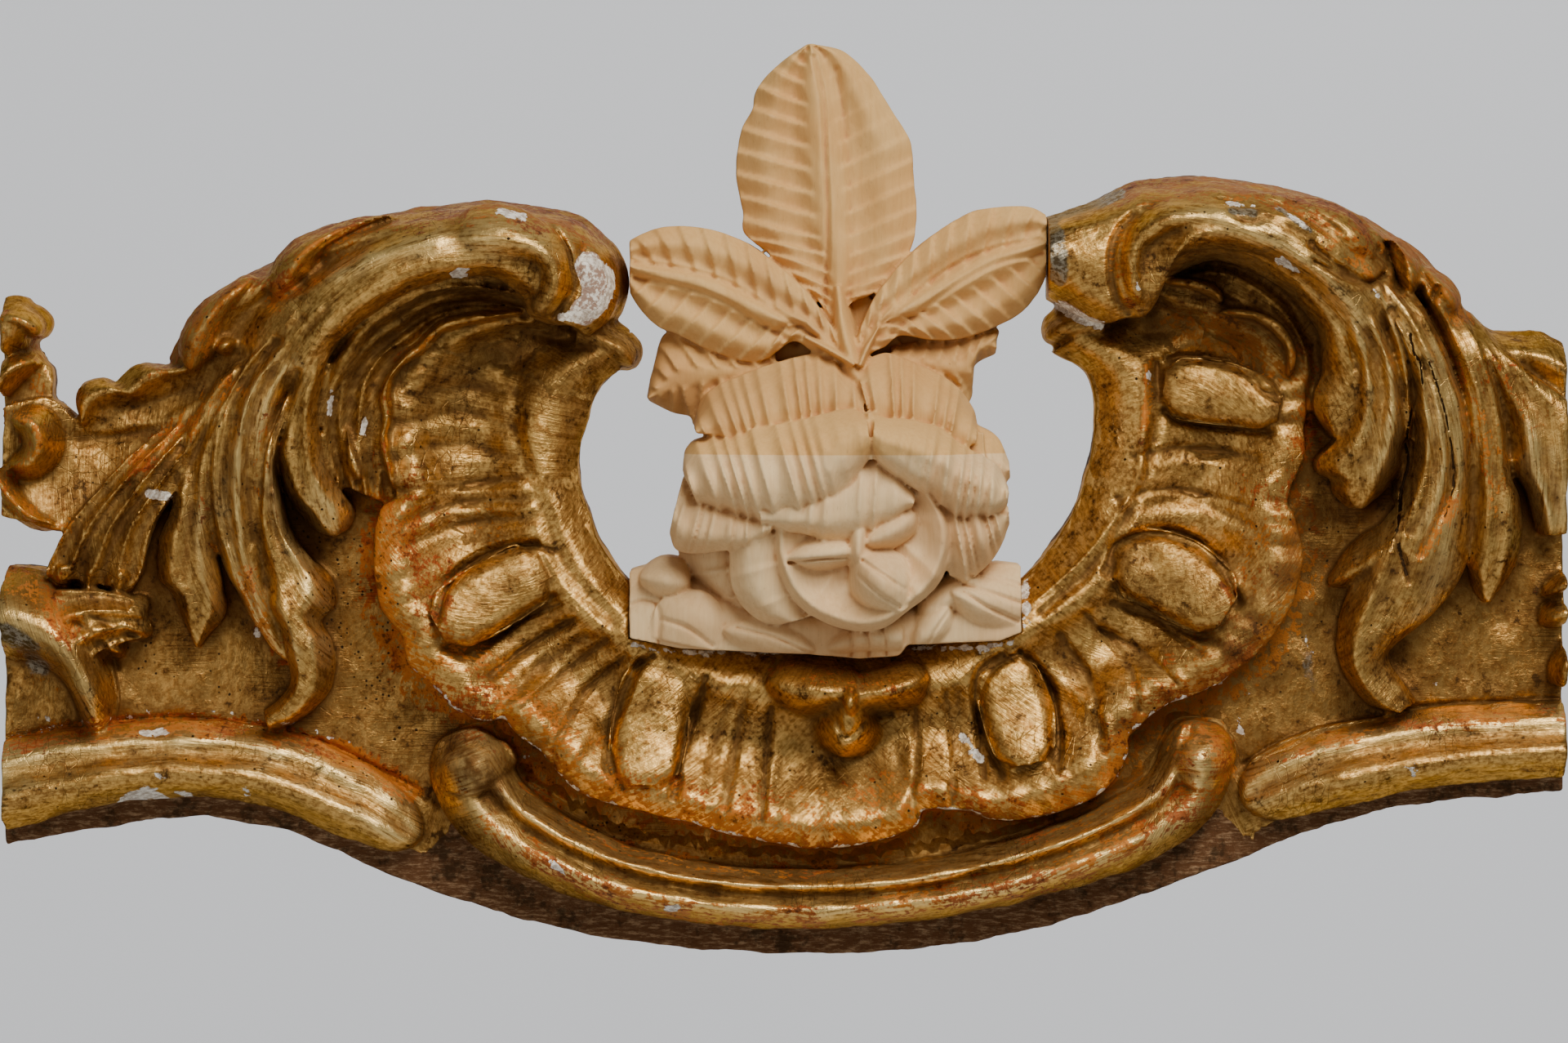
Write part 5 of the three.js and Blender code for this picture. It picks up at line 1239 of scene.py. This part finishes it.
# The rose: back petals, the two large front petals over the mouth, and the petals round the cup.
PETALS = [
    ([(849, 519), (858, 491), (874, 475), (896, 465), (922, 454), (955, 443), (994, 434), (1020, 439),
      (1040, 452), (1054, 466)],
     [(853, 530), (890, 532), (923, 530), (962, 522), (1007, 512), (1040, 508), (1058, 510)],
     [[24, 29, 29], [36, 39, 38], [41, 43, 42], [41, 43, 42]], 13, 2.2),
    ([(1048, 452), (1066, 438), (1088, 433), (1118, 444), (1150, 459), (1176, 478), (1193, 501),
      (1197, 518)], [(1062, 500), (1085, 512), (1118, 518), (1154, 528), (1180, 545), (1194, 542)],
     [[30, 29, 24], [39, 38, 34], [43, 42, 38], [43, 42, 38]], 9, 2.2),
    ([(836, 576), (840, 550), (858, 537), (903, 531), (929, 522), (968, 516), (1007, 506), (1040, 500),
      (1060, 508)],
     [(849, 602), (858, 618), (896, 627), (922, 633), (942, 636), (994, 625), (1022, 608), (1046, 584),
      (1066, 556)], [[34, 44, 46], [43, 53, 54], [48, 57, 58], [49, 58, 58], [47, 56, 56], [42, 50, 52]], 13,
     2.6, 0, 0.74),
    ([(1070, 506), (1085, 511), (1118, 514), (1150, 523), (1170, 539), (1193, 553), (1222, 570),
      (1234, 596)],
     [(1066, 556), (1082, 572), (1102, 586), (1150, 616), (1176, 631), (1215, 629), (1231, 619),
      (1234, 605)], [[46, 44, 36], [54, 53, 42], [58, 57, 46], [58, 56, 47], [56, 54, 46], [50, 48, 41]], 12,
     3.4, 0.34, 1),
    ([(930, 618), (1000, 596), (1062, 556), (1110, 592), (1120, 608)],
     [(932, 642), (984, 652), (1014, 660), (1037, 661), (1066, 654), (1092, 641), (1116, 620)],
     [[46, 48, 46], [51, 53, 51], [52, 54, 52], [51, 53, 50], [46, 48, 45]], 7, 1.6),
    ([(836, 585), (862, 600), (900, 623), (946, 636)],
     [(820, 652), (829, 673), (858, 676), (890, 672), (916, 670), (944, 650)],
     [[32, 42, 46], [42, 48, 49], [44, 49, 50], [44, 48, 49], [38, 43, 45]], 9, 2.2),
    ([(1150, 622), (1190, 628), (1234, 620)],
     [(1162, 704), (1184, 711), (1210, 690), (1226, 667), (1236, 644)],
     [[46, 44, 38], [47, 46, 40], [46, 46, 40], [44, 43, 37], [38, 37, 30]], 6, 3.4),
    ([(1196, 520), (1222, 536), (1236, 566)], [(1190, 600), (1222, 600), (1237, 585)],
     [[28, 28], [34, 32], [30, 28]], 3, 0.9),
    ([(894, 662), (894, 706), (903, 732), (918, 750), (936, 761), (956, 764)],
     [(958, 650), (964, 690), (974, 720), (984, 740), (990, 750), (994, 752)],
     [[41, 39, 36], [46, 44, 41], [46, 44, 41], [42, 41, 38]], 3, 0.5),
    ([(829, 668), (836, 698), (854, 720), (884, 740), (911, 751)],
     [(906, 660), (908, 690), (914, 720), (926, 744), (936, 760)], [[24, 23], [33, 31], [35, 32], [31, 29]],
     3, 1.6),
]
for top, lip, rows, *cuts in PETALS:
    flower.append(sheet(top, lip, rows, base=FLOWER_BACK, cuts=gouged(*cuts)))

# The broad petal under the mouth, its floor and the seed forms inside.
flower += [
    sheet([(1000, 640), (1004, 676), (1026, 700), (1062, 708), (1092, 696), (1104, 670), (1106, 636),
           (1096, 600)],
          [(946, 648), (948, 682), (958, 710), (971, 732), (994, 752), (1026, 766), (1056, 771), (1085, 765),
           (1111, 746), (1140, 723), (1158, 696), (1165, 667), (1162, 634), (1144, 604)],
          [[43] * 3, [44, 44, 44], [44.5, 45, 44.5], [45, 46.5, 46], [46, 48.5, 47.5], [47, 49.5, 48],
           [42, 43, 40]], base=FLOWER_BACK, cuts=gouged(8, 1.1)),
    slab([(950, 580), (1160, 580), (1150, 680), (1104, 730), (1004, 735), (966, 690)], FLOWER_BACK, 42.5),
    strand([(1040, 446), (1056, 474), (1064, 508)], [16, 14, 12], [33, 38, 41], 28, base=FLOWER_BACK),
    strand([(1064, 504), (1067, 530), (1066, 560)], [8, 9, 9], [49, 53, 53], 44, base=FLOWER_BACK),
    slab([(1170, 526), (1204, 530), (1206, 570), (1176, 570)], FLOWER_BACK, 34),
    slab([(924, 624), (970, 630), (966, 668), (930, 662)], FLOWER_BACK, 43),
    slab([(860, 520), (1060, 470), (1190, 520), (1200, 740), (930, 740), (870, 660)], FLOWER_BACK, 26),
    slab([(1036, 506), (1092, 518), (1092, 574), (1066, 592), (1036, 570)], FLOWER_BACK, 47),
    strand([(1052, 676), (1080, 712), (1104, 746)], [32, 40, 26], [52, 56.5, 51], 44, base=FLOWER_BACK,
           tips=(0.4, 0.35), blunt=0.6),
    strand([(957, 682), (996, 677), (1042, 671)], [9, 21, 18], [48, 51.5, 50], 43, base=FLOWER_BACK,
           tips=(0.4, 0.1)),
    strand([(1050, 688), (1050, 664), (1052, 640)], [13, 15, 15], [51, 51.5, 50], 44, base=FLOWER_BACK,
           tips=(0.3, 0.1)),
    strand([(1056, 664), (1090, 648), (1120, 626)], [14, 21, 16], [49.5, 51, 48.5], 44, base=FLOWER_BACK,
           tips=(0.2, 0.2)),
]

# The foot block that stands in the notch, small leaves round the rose, and last a filler behind the petals.
flower += [
    sheet([(760, 704), (800, 694), (850, 700), (930, 730), (1040, 740), (1150, 730), (1200, 700),
           (1260, 700)],
          [(760, 800), (830, 810), (940, 815), (1036, 820), (1110, 815), (1190, 800), (1260, 790)],
          [[21, 22, 24, 26, 24, 22, 21], [27, 30, 33, 33, 33, 31, 28], [30, 32, 33, 33, 31], [31, 31]]),
    strand([(782, 708), (812, 710), (846, 716)], [16, 28, 24], [32, 35, 34], 26, tips=(0.4, 0.3)),
    strand([(858, 722), (850, 752), (842, 792)], [28, 48, 46], [35, 36, 34], 31, tips=(0.35, 0.05)),
    strand([(1160, 722), (1200, 736), (1254, 742)], [14, 46, 48], [38, 37, 33], 26, tips=(0.15, 0.05)),
    strand([(1010, 794), (1056, 780), (1108, 778)], [16, 28, 30], [36, 38, 37], 27, tips=(0.2, 0.05)),
    strand([(884, 770), (940, 778), (1000, 796)], [20, 28, 14], [35.5, 36.5, 35], 31, tips=(0.3, 0.3)),
    strand([(1118, 792), (1142, 766), (1162, 740)], [18, 24, 16], [36.5, 38, 37], 31, tips=(0.3, 0.3)),
    strand([(1126, 756), (1164, 730), (1200, 704)], [18, 24, 22], [35, 36, 35], 28, tips=(0.2, 0.2)),
    strand([(1040, 492), (1060, 498), (1080, 506)], [10, 12, 10], [36, 38, 38], 28, base=FLOWER_BACK),
]

# The midribs of the leaves, and the folds and creases of the rose and of the foot's leaves.
FLOWER_MARKS = [
    ([(1010, 375), (1014, 280), (1011, 191), (1008, 119), (997, 69)], 6, 1.1),
    ([(1040, 372), (1042, 280), (1040, 209), (1033, 137), (1024, 84)], 7, 0.6),
    ([(778, 322), (833, 330), (888, 346), (940, 376), (1000, 412)], 7, 1.3),
    ([(778, 340), (830, 350), (884, 368), (930, 396), (975, 422)], 7, 1.1),
    ([(1276, 294), (1220, 305), (1170, 326), (1122, 360), (1080, 396)], 7, 1.3),
    ([(1276, 310), (1222, 322), (1176, 346), (1132, 378), (1092, 408)], 7, 1.1),
    ([(966, 687), (1000, 682), (1036, 680)], 4, 1.6),
    ([(1056, 684), (1080, 700), (1106, 718)], 5, 1.0),
    ([(1050, 702), (1074, 722), (1100, 740)], 5, 0.9),
    ([(903, 768), (950, 780), (996, 802)], 4, 0.7),
    ([(1060, 470), (1066, 500), (1066, 546)], 5, 0.7),
    ([(1132, 800), (1144, 772), (1164, 744)], 4, 0.7),
    ([(1180, 716), (1214, 726), (1250, 738)], 6, 1.0),
    ([(1180, 724), (1208, 742), (1246, 760)], 6, 1.0),
    ([(1186, 704), (1214, 706), (1248, 716)], 6, 1.0),
    ([(812, 758), (842, 768), (872, 790)], 6, 0.7),
    ([(1040, 768), (1044, 786), (1042, 806)], 6, 1.0),
    ([(1058, 766), (1064, 784), (1064, 806)], 6, 1.0),
    ([(1078, 764), (1084, 782), (1086, 806)], 6, 1.0),
    ([(770, 742), (790, 736), (806, 746), (806, 790)], 6, 0.9),
]

# Painted shade, warmer and darker, on the wood under and between the petals and leaves, as drawn lines with
# their reach and strength.
FLOWER_SHADE = [
    ([(860, 500), (960, 474), (1050, 480)], 40, 0.6),
    ([(800, 440), (840, 490), (880, 500)], 44, 0.9),
    ([(1080, 440), (1110, 480), (1190, 500)], 44, 0.5),
    ([(1100, 430), (1190, 440)], 40, 0.6),
    ([(1140, 620), (1154, 660), (1140, 700)], 26, 0.6),
    ([(840, 680), (860, 720), (900, 744)], 30, 0.5),
    ([(1190, 640), (1206, 680)], 26, 0.5),
    ([(850, 770), (940, 780), (1030, 786)], 22, 0.4),
    ([(960, 690), (1040, 700), (1120, 640)], 30, 0.35),
    ([(930, 340), (960, 370), (1000, 400)], 22, 0.6),
    ([(1080, 390), (1150, 400), (1240, 392)], 26, 0.4),
    ([(930, 250), (940, 150)], 60, 0.25),
]

# The forms stop a glue line short of the notch and of the arm ends, and are then fused like the crest's.
GLUE_LINE = 0.33 * MM / GRID
FLOWER_SKIN = 0.0004
flower_piece = collected("limewood_flower_carving", flower)
p = corners(flower_piece.data)
x, y = drawn(flower_piece.data)
x = np.clip(x, TIPS[0] + GLUE_LINE, np.where(y > FOOT_TOP, NOTCH[-1][0], TIPS[1]) - GLUE_LINE)
y = np.minimum(y, np.interp(x, *np.array(NOTCH).T) - GLUE_LINE)
p[:, 0] = (x - ORIGIN[0]) * GRID
p[:, 2] = (ORIGIN[1] - y) * GRID
flower_piece.data.vertices.foreach_set("co", p.ravel())
fuse(flower_piece, FLOWER_SKIN, 1)
score(flower_piece.data, FLOWER_MARKS)
uneven(flower_piece.data, 0.2, (9, 4), 9)
for name, height in zip(("near", "middle"), relief(flower_piece.data, (8, 30))):
    store(flower_piece.data, name, height)
store(flower_piece.data, "shade", zone(flower_piece.data, FLOWER_SHADE))
thin(flower_piece)
confine(flower_piece.data)

# The raw wood: a tanner upper block, a paler lower one under a crisp glue line, fine upright grain, painted
# shade in its hollows and a painted highlight on its ridges.
WOOD_UPPER = (0.64, 0.375, 0.13, 1)
WOOD_LOWER = (0.74, 0.51, 0.255, 1)
RECESS_SHADE = (0.42, 0.185, 0.06, 1)
GRAIN = (0.93, 0.9, 0.86, 1)
CLOUD = (0.95, 0.88, 0.82, 1)
PORE = (0.3, 0.16, 0.07, 1)
RIDGE_HIGHLIGHT = (0.8, 0.62, 0.38, 1)
GLUE_Z = (ORIGIN[1] - 555) * GRID
GLUE_HALF = 0.00012

limewood, tree, shader = nodes_of("raw_limewood")
here = node("TexCoord", {}, 3)
parts = node("SeparateXYZ", {"Vector": here}, 2)
block = rising(parts, GLUE_Z + GLUE_HALF, GLUE_Z - GLUE_HALF)
colour = mixed(block, WOOD_UPPER, WOOD_LOWER)
grain = noise(stretched(here, (900, 900, 22)), 1, 4, 0.6)
cloud = noise(here, 40, 2)
colour = mixed(rising(grain, 0.35, 0.7), colour, GRAIN, "MULTIPLY")
colour = mixed(rising(cloud, 0.4, 0.7), colour, CLOUD, "MULTIPLY")
pores = rising(noise(stretched(here, (2600, 2600, 260)), 1, 2), 0.66, 0.74)
colour = mixed(times(pores, 0.35), colour, PORE)
near = stored("near")
# Painted shade in the creases and hollows of the new wood.
hollow = larger(rising(near, -0.05, -0.42), rising(stored("middle"), -0.3, -1.8))
colour = mixed(times(hollow, 0.9), colour, RECESS_SHADE)
# Painted shade where the shade lines reach.
colour = mixed(times(stored("shade"), 0.5), colour, RECESS_SHADE)
# Painted highlight on the ridges of the wood.
colour = mixed(times(rising(near, 0.15, 0.7), 0.25), colour, RIDGE_HIGHLIGHT)
tree.links.new(colour, shader.inputs["Base Color"])
shader.inputs["Roughness"].default_value = 0.7
shader.inputs["Specular IOR Level"].default_value = 0.15
cut = noise(stretched(here, (1500, 1500, 300)), 1, 3)
bump = node("Bump", {"Height": cut, "Strength": 0.25, "Distance": 0.0002})
tree.links.new(bump, shader.inputs["Normal"])

finished(flower_piece, limewood)
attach(flower_piece, "root")
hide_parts("limewood_flower")

# The surroundings: a pale paper floor that bends up into a wall, soft light from above right, and the camera
# in front. The wall is only as wide as the camera needs, so that it hides nothing from the other sides.
FLOOR = -0.9
WALL = 0.6
backdrop_mesh = bpy.data.meshes.new("backdrop")
bm = bmesh.new()
bmesh.ops.create_grid(bm, x_segments=1, y_segments=24, size=1.5)
for v in bm.verts:
    along = v.co.y
    if along < 0:
        v.co.z = FLOOR
    else:
        v.co = (0.25 * v.co.x, WALL * (1 - math.exp(-along * 3)), FLOOR + along * 1.1)
bm.to_mesh(backdrop_mesh)
bm.free()
backdrop_mesh.shade_smooth()
backdrop = bpy.data.objects.new("backdrop", backdrop_mesh)
bpy.context.scene.collection.objects.link(backdrop)
paper, tree, shader = nodes_of("paper")
shader.inputs["Base Color"].default_value = (0.84, 0.84, 0.85, 1)
shader.inputs["Roughness"].default_value = 0.9
backdrop_mesh.materials.append(paper)

world = bpy.data.worlds.new("studio")
world.use_nodes = True
world.node_tree.nodes["Background"].inputs["Color"].default_value = (0.9, 0.95, 1, 1)
world.node_tree.nodes["Background"].inputs["Strength"].default_value = 0.24
bpy.context.scene.world = world


def lamp(name, where, aim, size, power):
    """A soft rectangular light."""
    data = bpy.data.lights.new(name, "AREA")
    data.shape = "RECTANGLE"
    data.size, data.size_y = size
    data.energy = power
    made = bpy.data.objects.new(name, data)
    made.location = where
    made.rotation_euler = (Vector(aim) - Vector(where)).to_track_quat("-Z", "Y").to_euler()
    bpy.context.scene.collection.objects.link(made)


lamp("sky", (0.42, -0.96, 1.02), (0, 0, 0.05), (1.0, 0.7), 27)
lamp("fill", (-0.9, -1.4, 0.1), (0, 0, 0.05), (1.0, 1.0), 4)

DISTANCE = 2.4
SENSOR = 36
PICTURE_MIDDLE = (960, 638.5)
camera_data = bpy.data.cameras.new("camera")
camera_data.sensor_width = SENSOR
camera_data.lens = SENSOR * DISTANCE / WIDTH
camera = bpy.data.objects.new("camera", camera_data)
aim = Vector(((PICTURE_MIDDLE[0] - ORIGIN[0]) * GRID, -0.03, (ORIGIN[1] - PICTURE_MIDDLE[1]) * GRID))
rise = math.radians(1.5)
camera.location = aim + Vector((0, -DISTANCE * math.cos(rise), DISTANCE * math.sin(rise)))
camera.rotation_euler = (aim - camera.location).to_track_quat("-Z", "Y").to_euler()
bpy.context.scene.collection.objects.link(camera)
bpy.context.scene.camera = camera
